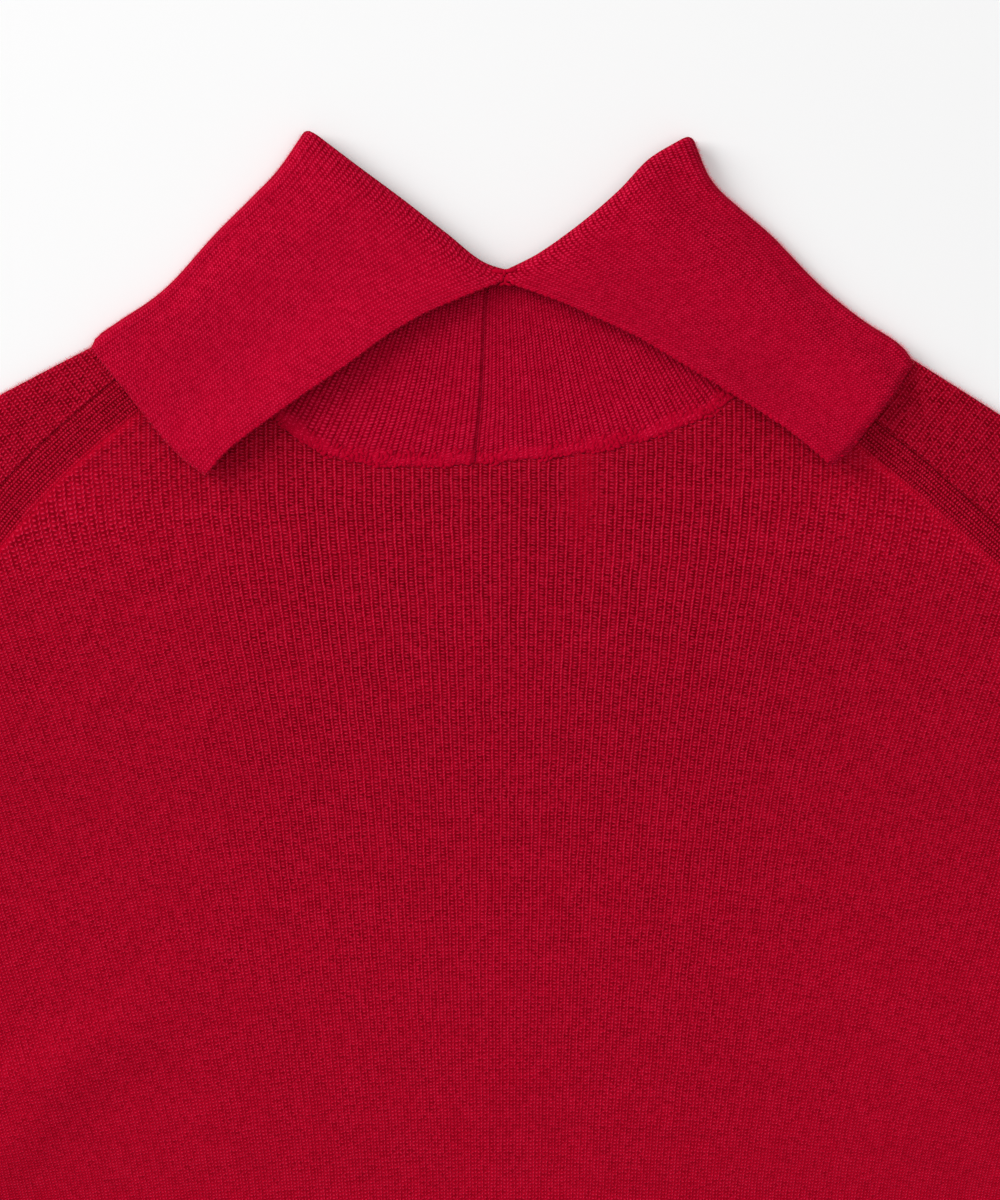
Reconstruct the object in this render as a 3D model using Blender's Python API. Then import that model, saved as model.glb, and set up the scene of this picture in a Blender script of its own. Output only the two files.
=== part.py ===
"""A fine-gauge turtleneck pullover whose fold-over collar is split at the centre back.

The garment lies flat on its front, back side up. +X is the viewer's right, +Y runs from the
hem to the collar and +Z points up from the surface. Sizes below are measured from the high
shoulder point at the centre line; the origin ends up on the surface, below the middle of the
laid-out garment. Knit pieces: front (with a strip over each shoulder), back, two sleeves and
a collar strip, whose ends meet in the centre-back seam below the split.
"""

import math

import bpy
import numpy as np

MM = 0.001

# Cloth
WALL = 1.5 * MM
GAP = 0.3 * MM
LAYER = WALL + GAP
SWEATER_RED = (0.323, 0.003, 0.014, 1.0)
KNIT_ROUGHNESS = 0.9

# Body
BODY_LENGTH = 600 * MM
HALF_NECK = 88 * MM
HALF_SHOULDER = 190 * MM
SHOULDER_SLOPE = {"left": 0.515, "right": 0.625}
NECK_DROP_BACK = 61 * MM
NECK_DROP_FRONT = 84 * MM
NECK_TILT = 0.085
UNDERARM_LEVEL = -236 * MM
BODY_SIDE = (
    # level (mm), half width (mm); straight between the rows
    (-600, 215),
    (-540, 219),
    (-420, 227),
    (-300, 230),
    (-236, 230),
    (-215, 209),
    (-190, 194),
    (-150, 182),
    (-110, 178),
    (-80, 182),
    (-64, 190),
    (-50, 190),
)
# Levels (mm) of the grid rows at the body's side, up to the armhole's upper part.
SIDE_LEVELS = (-600, -540, -420, -300, -265, -236, -215, -190, -170, -150, -130, -110)
ARMHOLE_TOP = {"left": (-95, -80, -64), "right": (-95, -80, -72)}
SHOULDER_POINT_WAY = (0, 1)  # body and sleeve turn over this way where they meet
SHOULDER_COLUMNS = 7
NECK_COLUMNS = 15
NECK_POWER_BACK = 3  # roundness of each neckline's U; 2 is an ellipse
NECK_POWER_FRONT = 2.4
NECK_TILT_FADE = 6
NECK_SAMPLES = 1000  # on each side of the middle
# The back shoulder seam from the neckline to the armhole: across and level, mm.
BACK_SEAM = {
    "left": (
        (-87.9, -9),
        (-112, -22.5),
        (-126, -31.8),
        (-139.6, -42.9),
        (-150.5, -52.5),
        (-166.7, -68.6),
        (-181.2, -86),
    ),
    "right": (
        (87.6, -17),
        (110, -36),
        (127.7, -51.5),
        (140.6, -61.7),
        (151.1, -71),
        (163.3, -81.8),
        (180, -96),
    ),
}
HEM_RIB_PITCH = 5 * MM
RIB_RISE = 0.45 * MM

# Sleeves
SLEEVE_LENGTH = 570 * MM
CUFF_WIDTH = 85 * MM
SLEEVE_ANGLES = (28, 60)  # degrees below level, at the shoulder and at the cuff
UNDERARM_ANGLE = 47
SLEEVE_SAMPLES = 400
SLEEVE_STATIONS = (0, 0.06, 0.13, 0.21, 0.3, 0.4, 0.5, 0.6, 0.7, 0.8, 0.895, 1)
ARMHOLE_SHAPE_REACH = 0.3

# Collar outlines as they lie: across and level in mm, from the centre back outwards.
FOLD_BACK = {
    "left": ((-0.2, 0.4), (-6.4, 2.2), (-21, 12.9), (-34.5, 23.4), (-50.2, 35.1), (-63.2, 45)),
    "right": ((0.2, 0.4), (10.1, 5.2), (20.3, 11.9), (39, 27.2), (48.7, 37.2), (58.6, 43.2)),
}
SILHOUETTE = {
    "left": ((-63.2, 45), (-70.4, 34.8), (-95.2, 10.7), (-112.2, -7.8), (-135, -24.5)),
    "right": ((58.6, 43.2), (63.5, 32), (87.8, 9.8), (105.4, -7.8), (119.6, -19.7), (132.3, -28)),
}
FREE_EDGE = {
    "left": ((-98.5, -63.7), (-107.6, -58.5), (-122.2, -43.6), (-135, -24.5)),
    "right": ((106.5, -62.3), (114.2, -56.5), (124, -43), (132.3, -28)),
}
SLIT = {
    "left": ((-0.2, 0.4), (-0.2, -2.4), (-15.2, -7.8), (-40.3, -20.8), (-76.2, -46.2), (-98.5, -63.7)),
    "right": ((0.2, 0.4), (0.2, -2.4), (19.5, -9.2), (42.6, -19.8), (78.2, -41.2), (106.5, -62.3)),
}
# The centre-back seam of the stand, from its foot on the neck seam up to the fold.
STAND_SEAM_FOOT = -10 * MM
STAND_SEAM = ((-8, -43), (-7, -23), (-6.5, -8.5), (-6, -3.8), (-4, -1), (0, 0.4))
STAND_SEAM_HALF_GAP = 0.2 * MM
STAND_FOOT_STEP = 3 * MM  # the shortest step from the seam to the next point of the stand's foot
STAND_SIDE_BOW = {"left": 3 * MM, "right": 6 * MM}
# The front's fold and free edge hang to a level in the middle; a higher power keeps flatter there.
FRONT_FOLD_DIP = -12 * MM
FRONT_FOLD_POWER = 1.5
FRONT_FREE_DIP = -122 * MM
FRONT_FREE_POWER = 2.2
FOLD_RADIUS = 1.3 * MM
STAND_ROWS = (0, 0.4, 0.75, 1)
FOLD_ANGLES = (45, 90, 135)
LEAF_ROWS = (0, 0.07, 0.2, 0.35, 0.5, 0.65, 0.8, 0.92, 1)
STAND_RIB_PITCH = 2.5 * MM

# Heights. The panels rise over the front leaf, which lies under them inside an oval.
FLOOR_LAYER = WALL / 2
BACK_LOFT = 0.6 * MM
STAND_LOFT = 0.6 * MM
LAYERS_UNDER_LEAF = 3  # the back leaf lies on the front leaf, the front and the back
LEAF_CLEARANCE = 0.85 * MM
LEAF_LIFT = 1.4 * MM
OVERHANG_DROP = 2 * MM
# Shares of the leaf's width (from the split) and depth (from the fold) over which it changes height.
SETTLE_DEPTH = 0.25
LIFT_WIDTH = 0.4
LIFT_DEPTH = 1.25
DROP_WIDTH = 0.14
DROP_FROM = 0.25
DROP_DEPTH = 0.6
OVAL_X = 143 * MM
OVAL_Y = 136 * MM
OVAL_MIDDLE = 8 * MM
LIFT_FADE = 0.5
SHARP_ANGLE = math.radians(50)
TURN = np.radians([-90, -45, 0, 45, 90])  # steps round a folded edge, from below to above


def smooth(x):
    x = np.clip(x, 0.0, 1.0)
    return x * x * (3 - 2 * x)


def unit(v):
    return np.asarray(v, float) / np.linalg.norm(v)


def sign_of(side):
    return -1 if side == "left" else 1


def run_of(points):
    """Distance along a line of points, from its start to each of them."""
    return np.concatenate([[0], np.cumsum(np.linalg.norm(np.diff(points, axis=0), axis=1))])


def through(rows, fractions):
    """Points at the given fractions of a smooth curve through the rows of a table in mm."""
    p = np.array(rows, float) * MM
    run = run_of(p)
    run /= run[-1]
    slopes = np.gradient(p, run, axis=0)
    made = []
    for t in fractions:
        k = int(np.clip(np.searchsorted(run, t) - 1, 0, len(run) - 2))
        h = run[k + 1] - run[k]
        s = (t - run[k]) / h
        place = (2 * s**3 - 3 * s**2 + 1) * p[k] + (3 * s**2 - 2 * s**3) * p[k + 1]
        lean = (s**3 - 2 * s**2 + s) * slopes[k] + (s**3 - s**2) * slopes[k + 1]
        made.append(place + lean * h)
    return np.array(made)


def patch(bottom, top, left, right, across, up):
    """A patch between four edges; across and up are the fractions of its columns and rows."""
    s = np.asarray(across)[None, :, None]
    t = np.asarray(up)[:, None, None]
    ruled = (1 - t) * bottom[None] + t * top[None] + (1 - s) * left[:, None] + s * right[:, None]
    corners = (1 - s) * (1 - t) * bottom[0] + s * (1 - t) * bottom[-1]
    return ruled - corners - (1 - s) * t * top[0] - s * t * top[-1]


class Cloth:
    """A wall of cloth: quads on outer and inner points, and a rim round the open edges."""

    def __init__(self, rise_side=1.0):
        """Ribs rise to the left of the quads' way round where rise_side is 1, or else -1."""
        self.rise_side = rise_side
        self.points = []
        self.outer = []
        self.inner = []

    def add_grid(self, outer, inner):
        """Adds rows x columns of point pairs and returns the pairs' numbers."""
        rows, cols = outer.shape[:2]
        first = len(self.points) // 2
        for r in range(rows):
            for c in range(cols):
                self.points += [outer[r, c], inner[r, c]]
        return np.arange(first, first + rows * cols).reshape(rows, cols)

    def add_quads(self, ids, ribs=None):
        """Joins a grid of pairs. ribs(row, column) gives (count, rise below, rise above) or None."""
        rows, cols = ids.shape
        for r in range(rows - 1):
            for c in range(cols - 1):
                quad = [int(i) for i in (ids[r, c], ids[r, c + 1], ids[r + 1, c + 1], ids[r + 1, c])]
                self.outer.append(([2 * i for i in quad], ribs(r, c) if ribs else None))
                self.inner.append([2 * i + 1 for i in reversed(quad)])

    def rim(self):
        edges = {(a, b) for face, _ in self.outer for a, b in zip(face, face[1:] + face[:1])}
        return [[b, a, a + 1, b + 1] for a, b in sorted(edges) if (b, a) not in edges]

    def faces(self):
        """All faces; a ribbed quad becomes narrow ones, and its neighbours take its new points."""
        new_points = {}
        narrow = []
        for face, ribs in self.outer:
            if ribs:
                narrow += self.cut_ribs(face, ribs, new_points)
        whole = [face for face, ribs in self.outer if not ribs] + self.inner + self.rim()
        return [face for f in whole for face in self.with_new_points(f, new_points)] + narrow

    def cut_ribs(self, face, ribs, new_points):
        count, low, high = ribs
        a, b, c, d = face
        pa, pb, pd = self.points[a], self.points[b], self.points[d]
        up = unit(np.cross(pb - pa, pd - pa)) * self.rise_side
        bottom = [a] + self.rib_points(a, b, count, low * up, new_points) + [b]
        top = [d] + self.rib_points(d, c, count, high * up, new_points) + [c]
        pairs = range(len(bottom) - 1)
        return [[bottom[k], bottom[k + 1], top[k + 1], top[k]] for k in pairs]

    def rib_points(self, a, b, count, rise, new_points):
        """Points along an edge, every second one raised; an edge is cut only once."""
        low, high = min(a, b), max(a, b)
        if (low, high) not in new_points:
            ids = []
            for k in range(1, 2 * count):
                f = k / (2 * count)
                place = self.points[low] * (1 - f) + self.points[high] * f
                ids.append(len(self.points))
                self.points.append(place + rise * (k % 2))
            new_points[low, high] = ids
        ids = new_points[low, high]
        return ids if a < b else ids[::-1]

    def with_new_points(self, face, new_points):
        outline = []
        for a, b in zip(face, face[1:] + face[:1]):
            outline.append(a)
            ids = new_points.get((min(a, b), max(a, b)), [])
            outline += ids if a < b else ids[::-1]
        return [outline] if len(outline) == 4 else self.strip_triangles(outline)

    def strip_triangles(self, outline):
        """Cuts a many-sided strip into triangles, working along it from its longest edge."""
        p = [self.points[i] for i in outline]
        n = len(outline)
        edges = [np.linalg.norm(p[(k + 1) % n] - p[k]) for k in range(n)]
        back = int(np.argmax(edges))
        ahead = (back + 1) % n
        triangles = []
        while (ahead + 1) % n != back:
            next_back, next_ahead = (back - 1) % n, (ahead + 1) % n
            if np.linalg.norm(p[next_back] - p[ahead]) <= np.linalg.norm(p[next_ahead] - p[back]):
                triangles.append([outline[next_back], outline[back], outline[ahead]])
                back = next_back
            else:
                triangles.append([outline[back], outline[ahead], outline[next_ahead]])
                ahead = next_ahead
        return triangles


def make_object(name, points, faces):
    """One closed mesh with its faces pointing out, and one knit material."""
    corners = [[face[0], face[k], face[k + 1]] for face in faces for k in range(1, len(face) - 1)]
    a, b, c = (points[[t[k] for t in corners]] for k in range(3))
    volume = np.einsum("ij,ij->i", a, np.cross(b, c)).sum() / 6
    if volume < 0:
        faces = [face[::-1] for face in faces]
    mesh = bpy.data.meshes.new(name)
    mesh.from_pydata(points.tolist(), [], faces)
    mesh.update()
    mesh.shade_smooth()
    mesh.set_sharp_from_angle(angle=SHARP_ANGLE)
    material = bpy.data.materials.new(name + "_knit")
    material.use_nodes = True
    shader = material.node_tree.nodes["Principled BSDF"]
    shader.inputs["Base Color"].default_value = SWEATER_RED
    shader.inputs["Roughness"].default_value = KNIT_ROUGHNESS
    shader.inputs["Metallic"].default_value = 0.0
    mesh.materials.append(material)
    thing = bpy.data.objects.new(name, mesh)
    bpy.context.scene.collection.objects.link(thing)


# Lines that pieces share


def half_width(level):
    levels = np.array([row[0] for row in BODY_SIDE]) * MM
    widths = np.array([row[1] for row in BODY_SIDE]) * MM
    return np.interp(level, levels, widths)


def neckline(x, drop, power, tilt=0.0):
    """Level of a neckline at a place across: a rounded U between the high shoulder points."""
    u = np.clip(np.abs(x) / HALF_NECK, 0, 1)
    return -drop * (1 - u**power) ** (1 / power) + tilt * x * (1 - u**NECK_TILT_FADE)


def neckline_points(drop, power, tilt, left_level, right_level):
    """Even points along a neckline, from a level on its left side to one on its right."""
    across = np.sin(np.linspace(-1, 1, 2 * NECK_SAMPLES + 1) * math.pi / 2) * HALF_NECK
    line = np.stack([across, neckline(across, drop, power, tilt)], axis=1)
    run = run_of(line)
    start = run[np.argmin(np.abs(line[:NECK_SAMPLES, 1] - left_level))]
    end = run[NECK_SAMPLES + np.argmin(np.abs(line[NECK_SAMPLES:, 1] - right_level))]
    at = np.linspace(start, end, NECK_COLUMNS)
    return np.stack([np.interp(at, run, line[:, 0]), np.interp(at, run, line[:, 1])], axis=1)


def back_neck():
    levels = [BACK_SEAM[side][0][1] * MM for side in ("left", "right")]
    return neckline_points(NECK_DROP_BACK, NECK_POWER_BACK, NECK_TILT, *levels)


def front_neck():
    return neckline_points(NECK_DROP_FRONT, NECK_POWER_FRONT, 0.0, 0.0, 0.0)


def back_seam(side):
    """The back shoulder seam, from the neckline to the armhole."""
    seam = through(BACK_SEAM[side], np.linspace(0, 1, SHOULDER_COLUMNS))
    seam[0] = back_neck()[0 if side == "left" else -1]
    seam[-1, 0] = sign_of(side) * half_width(seam[-1, 1])
    return seam


def shoulder_edge(side):
    """The folded shoulder edge, from the neck to the shoulder point."""
    x = np.linspace(HALF_NECK, HALF_SHOULDER, SHOULDER_COLUMNS)
    return np.stack([sign_of(side) * x, -SHOULDER_SLOPE[side] * (x - HALF_NECK)], axis=1)


def shoulder_normal(side):
    return unit([sign_of(side) * SHOULDER_SLOPE[side], 1.0])


def tip(side):
    return np.array(FOLD_BACK[side][-1]) * MM


def stand_side_normal(side):
    along = tip(side) - shoulder_edge(side)[0]
    return unit([sign_of(side) * along[1], -sign_of(side) * along[0]])


def neck_turn_normal(side):
    """Both the panel and the stand turn over the shoulder in this direction where they meet."""
    return unit(shoulder_normal(side) + stand_side_normal(side))


# Heights of the layers' middles


def lift_at(xy):
    """0 to 1: how far the panels are raised by the front leaf that lies under them."""
    q = np.hypot(xy[..., 0] / OVAL_X, (xy[..., 1] - OVAL_MIDDLE) / OVAL_Y)
    return smooth((1 + LIFT_FADE - q) / LIFT_FADE)


def front_height(xy):
    return FLOOR_LAYER + LAYER * lift_at(xy)


def back_height(xy):
    return front_height(xy) + LAYER + BACK_LOFT * lift_at(xy)


def flat_wall(xy, height):
    """Upper and lower points of a wall that lies flat with its middle at a height."""
    middle = np.concatenate([xy, height(xy)[..., None]], axis=-1)
    half = np.array([0, 0, WALL / 2])
    return middle + half, middle - half


# Body panels


def panel_grid(top, side_levels):
    """Rows of across/level points from the hem up to the panel's top edge."""
    rows = []
    across = np.linspace(-1, 1, len(top))
    underarm = (UNDERARM_LEVEL + BODY_LENGTH) / (top[0, 1] + BODY_LENGTH)
    for left_level, right_level in side_levels:
        share = (left_level + BODY_LENGTH) / (top[0, 1] + BODY_LENGTH)
        level = -BODY_LENGTH + (top[:, 1] + BODY_LENGTH) * share
        level[0], level[-1] = left_level, right_level
        blend = smooth((share - underarm) / (1 - underarm))
        x = (1 - blend) * across * half_width(level) + blend * top[:, 0]
        x[0], x[-1] = -half_width(left_level), half_width(right_level)
        rows.append(np.stack([x, level], axis=1))
    rows[-1] = top
    return np.array(rows)


def hem_ribs(columns):
    count = round(2 * half_width(-BODY_LENGTH) / (columns - 1) / HEM_RIB_PITCH)
    return lambda row, column: (count, RIB_RISE, 0.0) if row == 0 else None


def build_back():
    seams = {side: back_seam(side) for side in ("left", "right")}
    top = np.concatenate([seams["left"][::-1], back_neck()[1:-1], seams["right"]])
    levels = [(level * MM, level * MM) for level in SIDE_LEVELS[:-1]]
    lowest = SIDE_LEVELS[-1] * MM
    for f in (0, 0.5, 1):
        levels.append((lowest + f * (top[0, 1] - lowest), lowest + f * (top[-1, 1] - lowest)))
    upper, lower = flat_wall(panel_grid(top, levels), back_height)
    cloth = Cloth()
    cloth.add_quads(cloth.add_grid(upper, lower), hem_ribs(len(top)))
    return cloth


def build_front():
    edges = {side: shoulder_edge(side) for side in ("left", "right")}
    top = np.concatenate([edges["left"][::-1], front_neck()[1:-1], edges["right"]])
    levels = [(level * MM, level * MM) for level in SIDE_LEVELS]
    levels += [(a * MM, b * MM) for a, b in zip(ARMHOLE_TOP["left"], ARMHOLE_TOP["right"])]
    levels.append((top[0, 1], top[-1, 1]))
    upper, lower = flat_wall(panel_grid(top, levels), front_height)
    cloth = Cloth()
    ids = cloth.add_grid(lower, upper)
    cloth.add_quads(ids)
    for side in ("left", "right"):
        add_shoulder_strip(cloth, ids[-1], side)
    return cloth


def add_shoulder_strip(cloth, top_row, side):
    """The part of the front that turns over the shoulder edge and lies on the back."""
    edge = shoulder_edge(side)
    columns = top_row[:SHOULDER_COLUMNS] if side == "left" else top_row[-SHOULDER_COLUMNS:][::-1]
    edge = edge[::-1]
    outward = np.array([shoulder_normal(side)] * SHOULDER_COLUMNS)
    outward[-1] = neck_turn_normal(side)
    outward[0] = SHOULDER_POINT_WAY
    low, high = front_height(edge), back_height(edge)
    centre, radius = (low + high) / 2, (high - low) / 2
    outer_rows, inner_rows = [], []
    for angle in TURN[1:]:
        for rows, half in ((outer_rows, WALL / 2), (inner_rows, -WALL / 2)):
            xy = edge + ((radius + half) * math.cos(angle))[:, None] * outward
            z = centre + (radius + half) * math.sin(angle)
            rows.append(np.concatenate([xy, z[:, None]], axis=1))
    seam = offset_line(back_seam(side), sign_of(side))[::-1]
    seam[0, 0] = sign_of(side) * half_width(seam[0, 1])
    armhole_levels = [level * MM for level in ARMHOLE_TOP[side][:0:-1]] + [seam[0, 1]]
    for step, level in enumerate(armhole_levels, start=1):
        f = step / len(armhole_levels)
        xy = edge * (1 - f) + seam * f
        xy[0] = [sign_of(side) * half_width(level), level]
        upper, lower = flat_wall(xy, back_height)
        outer_rows.append(upper)
        inner_rows.append(lower)
    added = cloth.add_grid(np.array(outer_rows), np.array(inner_rows))
    joined = np.vstack([columns, added])
    cloth.add_quads(joined if side == "left" else joined[:, ::-1])


# Sleeves


def sleeve_edges(side):
    """The top fold and the underarm edge, as across/level points at each station."""
    start = shoulder_edge(side)[-1] * [sign_of(side), 1]
    fine = np.linspace(0, 1, SLEEVE_SAMPLES)
    first, last = np.radians(SLEEVE_ANGLES)
    lean = first + (last - first) * np.sqrt(fine)
    steps = np.stack([np.cos(lean), -np.sin(lean)], axis=1) * SLEEVE_LENGTH / (len(fine) - 1)
    line = start + np.concatenate([[[0, 0]], np.cumsum(steps[:-1], axis=0)])
    f = np.array(SLEEVE_STATIONS)
    top = np.stack([np.interp(f, fine, line[:, 0]), np.interp(f, fine, line[:, 1])], axis=1)
    foot = top[-1] + CUFF_WIDTH * np.array([-math.sin(last), -math.cos(last)])
    underarm = np.array([half_width(UNDERARM_LEVEL), UNDERARM_LEVEL])
    reach = np.linalg.norm(foot - underarm) / 3
    turn = math.radians(UNDERARM_ANGLE)
    a = underarm + reach * np.array([math.cos(turn), -math.sin(turn)])
    b = foot - reach * np.array([math.cos(last), -math.sin(last)])
    f = f[:, None]
    bottom = (1 - f) ** 3 * underarm + 3 * f * (1 - f) ** 2 * a + 3 * f**2 * (1 - f) * b + f**3 * foot
    mirror = np.array([sign_of(side), 1.0])
    return top * mirror, bottom * mirror


def armhole_line(side):
    """The armhole on the sleeve's side of its seam, from the shoulder point to the underarm."""
    levels = [shoulder_edge(side)[-1][1]]
    levels += [level * MM for level in ARMHOLE_TOP[side][::-1]]
    levels += [level * MM for level in SIDE_LEVELS[::-1] if level * MM >= UNDERARM_LEVEL]
    return np.array([[sign_of(side) * (half_width(y) + GAP), y] for y in levels])


def sleeve_ring(line, half, top_way):
    """One section of the sleeve: over the top, round the underarm, below, round the top fold."""
    across = unit(line[-1] - line[0])
    centre = FLOOR_LAYER + LAYER / 2
    radius = LAYER / 2 + half
    ring = [(*xy, centre + radius) for xy in line]
    for angle in TURN[::-1][1:-1]:
        ring.append((*(line[-1] + across * radius * math.cos(angle)), centre + radius * math.sin(angle)))
    ring += [(*xy, centre - radius) for xy in line[::-1]]
    for angle in TURN[1:-1]:
        ring.append((*(line[0] + top_way * radius * math.cos(angle)), centre + radius * math.sin(angle)))
    return ring


def build_sleeve(side):
    top, bottom = sleeve_edges(side)
    armhole = armhole_line(side)
    across = run_of(armhole)[:, None] / run_of(armhole)[-1]
    bow = armhole - (armhole[0] * (1 - across) + armhole[-1] * across)
    outer, inner = [], []
    for k, fraction in enumerate(SLEEVE_STATIONS):
        fade = max(0.0, 1 - fraction / ARMHOLE_SHAPE_REACH) ** 2
        line = top[k] * (1 - across) + bottom[k] * across + bow * fade
        if k == 0:
            line = armhole
        top_way = np.array(SHOULDER_POINT_WAY) if k == 0 else unit(line[0] - line[-1])
        outer.append(sleeve_ring(line, WALL / 2, top_way))
        inner.append(sleeve_ring(line, -WALL / 2, top_way))
    cloth = Cloth(rise_side=sign_of(side))
    ids = cloth.add_grid(np.array(outer), np.array(inner))
    ids = np.hstack([ids, ids[:, :1]])
    last_row = len(SLEEVE_STATIONS) - 2
    count = max(1, round(CUFF_WIDTH / (len(armhole) - 1) / HEM_RIB_PITCH))
    upper_columns = len(armhole) - 1

    def cuff_ribs(row, column):
        return (count, 0.0, RIB_RISE) if row == last_row and column < upper_columns else None

    cloth.add_quads(ids, cuff_ribs)
    return cloth


# Collar


def offset_line(points, turn):
    """Points moved by the seam gap to one side: turn is 1 for the left of the way, -1 for the right."""
    ways = np.diff(points, axis=0)
    ways /= np.linalg.norm(ways, axis=1)[:, None]
    before = np.vstack([ways[:1], ways])
    after = np.vstack([ways, ways[-1:]])
    mean = before + after
    mean /= np.linalg.norm(mean, axis=1)[:, None]
    stretch = 1 / np.einsum("ij,ij->i", mean, before)
    return points + turn * GAP * stretch[:, None] * np.stack([-mean[:, 1], mean[:, 0]], axis=1)


def stand_foot_back(side):
    """The stand's lower edge on the back, from the centre-back seam to the high shoulder point."""
    neck = back_neck()
    if side == "left":
        neck = neck[::-1]
    sign = sign_of(side)
    shoulder = shoulder_edge(side)[0]
    start_x = STAND_SEAM_FOOT + sign * STAND_SEAM_HALF_GAP
    line = [p for p in neck if sign * (p[0] - start_x) > STAND_FOOT_STEP]
    before = neck[len(neck) - len(line) - 1]
    f = (start_x - before[0]) / (line[0][0] - before[0])
    start = before * (1 - f) + line[0] * f
    line = np.array([start, *line, (line[-1] + shoulder) / 2, shoulder])
    line = offset_line(line, sign)
    line[0, 0] = start_x
    line[-1] = stand_foot_corner(side)
    return line


def stand_foot_corner(side):
    normal = neck_turn_normal(side)
    into = np.array([-sign_of(side) * normal[1], sign_of(side) * normal[0]])
    return shoulder_edge(side)[0] + GAP * into


def dipping_line(left, right, dip, power, fractions):
    """A curve between two points that hangs down to a level in the middle."""
    x = left[0] + (right[0] - left[0]) * np.asarray(fractions)
    end = np.where(x < 0, left[1], right[1])
    reach = np.where(x < 0, -left[0], right[0])
    return np.stack([x, dip + (end - dip) * (np.abs(x) / reach) ** power], axis=1)


def stand_back_height(xy, rise):
    return back_height(xy) + STAND_LOFT * smooth(rise)


def stand_front_height(xy, rise):
    return front_height(xy) + STAND_LOFT * smooth(rise)


def leaf_back_height(fold_top, across, down):
    """The back leaf settles from the fold, stands proud at the split and hangs over the sides."""
    rest = FLOOR_LAYER + LAYERS_UNDER_LEAF * LAYER + BACK_LOFT + LEAF_CLEARANCE
    settled = fold_top + (rest - fold_top) * smooth(down / SETTLE_DEPTH)
    lift = LEAF_LIFT * smooth(1 - across / LIFT_WIDTH) * np.sin(math.pi * np.clip(down / LIFT_DEPTH, 0, 1))
    drop = OVERHANG_DROP * smooth(1 - (1 - across) / DROP_WIDTH)
    drop = drop * np.sin(math.pi * np.clip((down - DROP_FROM) / DROP_DEPTH, 0, 1))
    return settled + lift - drop


def in_space(xy, z):
    return np.concatenate([xy, z[:, None]], axis=1)


def fold_forward(stand_before, fold, leaf_after):
    ahead = (fold - stand_before) / np.linalg.norm(fold - stand_before, axis=1)[:, None]
    ahead = ahead + (fold - leaf_after) / np.linalg.norm(fold - leaf_after, axis=1)[:, None]
    return ahead / np.linalg.norm(ahead, axis=1)[:, None]


def collar_section(stand, leaf, across, back):
    """Mid-points of one flat stretch of the collar: stand rows, the fold and leaf rows."""
    forward = fold_forward(stand[-2], stand[-1], leaf[1])
    if back:
        forward[np.asarray(across) == 0] = [0, 1]
    rows = []
    for xy, rise in zip(stand, STAND_ROWS):
        height = stand_back_height(xy, rise) if back else stand_front_height(xy, rise)
        rows.append(in_space(xy, height))
    foot = rows[-1][:, 2]
    radius = np.full(len(foot), FOLD_RADIUS) if back else (foot - FLOOR_LAYER) / 2
    way = 1 if back else -1
    for angle in np.radians(FOLD_ANGLES):
        xy = stand[-1] + forward * (radius * math.sin(angle))[:, None]
        rows.append(in_space(xy, foot + way * radius * (1 - math.cos(angle))))
    fold_top = foot + way * 2 * radius
    for xy, down in zip(leaf, LEAF_ROWS):
        height = leaf_back_height(fold_top, np.asarray(across), down) if back else fold_top
        rows.append(in_space(xy, height))
    return np.array(rows)


def stand_side(side, foot, top):
    """The stand's folded side, bowed in a little so that it stays under the leaf's."""
    t = np.array(STAND_ROWS)[:, None]
    return foot * (1 - t) + top * t - STAND_SIDE_BOW[side] * np.sin(math.pi * t) * stand_side_normal(side)


def side_columns(side, above, below):
    """Columns round the folded side of the collar, between its back and its front."""
    sign = sign_of(side)
    stand_normal = stand_side_normal(side)
    silhouette = through(SILHOUETTE[side], LEAF_ROWS)
    ways = np.gradient(silhouette, axis=0)
    leaf_normals = [unit([-sign * way[1], sign * way[0]]) for way in ways]
    normals = [neck_turn_normal(side)] + [stand_normal] * (len(STAND_ROWS) - 1)
    for angle in FOLD_ANGLES:
        f = angle / 180
        normals.append(unit(stand_normal * (1 - f) + leaf_normals[0] * f))
    normals += leaf_normals
    centre, half = (above + below) / 2, (above - below) / 2
    columns = []
    for angle in TURN[::-1][1:-1]:
        column = centre + half * math.sin(angle)
        column[:, :2] += np.array(normals) * (half[:, 2] * math.cos(angle))[:, None]
        columns.append(column)
    return np.array(columns).transpose(1, 0, 2)


def back_stretch(side):
    foot = stand_foot_back(side)
    across = run_of(foot) / run_of(foot)[-1]
    sign = sign_of(side)
    seam_table = [foot[0] / MM - [sign * STAND_SEAM_HALF_GAP / MM, 0], *STAND_SEAM]
    seam = through(seam_table, STAND_ROWS) + [sign * STAND_SEAM_HALF_GAP, 0]
    fold = through(FOLD_BACK[side], across)
    stand = patch(foot, fold, seam, stand_side(side, foot[-1], fold[-1]), across, STAND_ROWS)
    edges = through(SLIT[side], LEAF_ROWS), through(SILHOUETTE[side], LEAF_ROWS)
    leaf = patch(fold, through(FREE_EDGE[side], across), *edges, across, LEAF_ROWS)
    return collar_section(stand, leaf, across, back=True)


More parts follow.
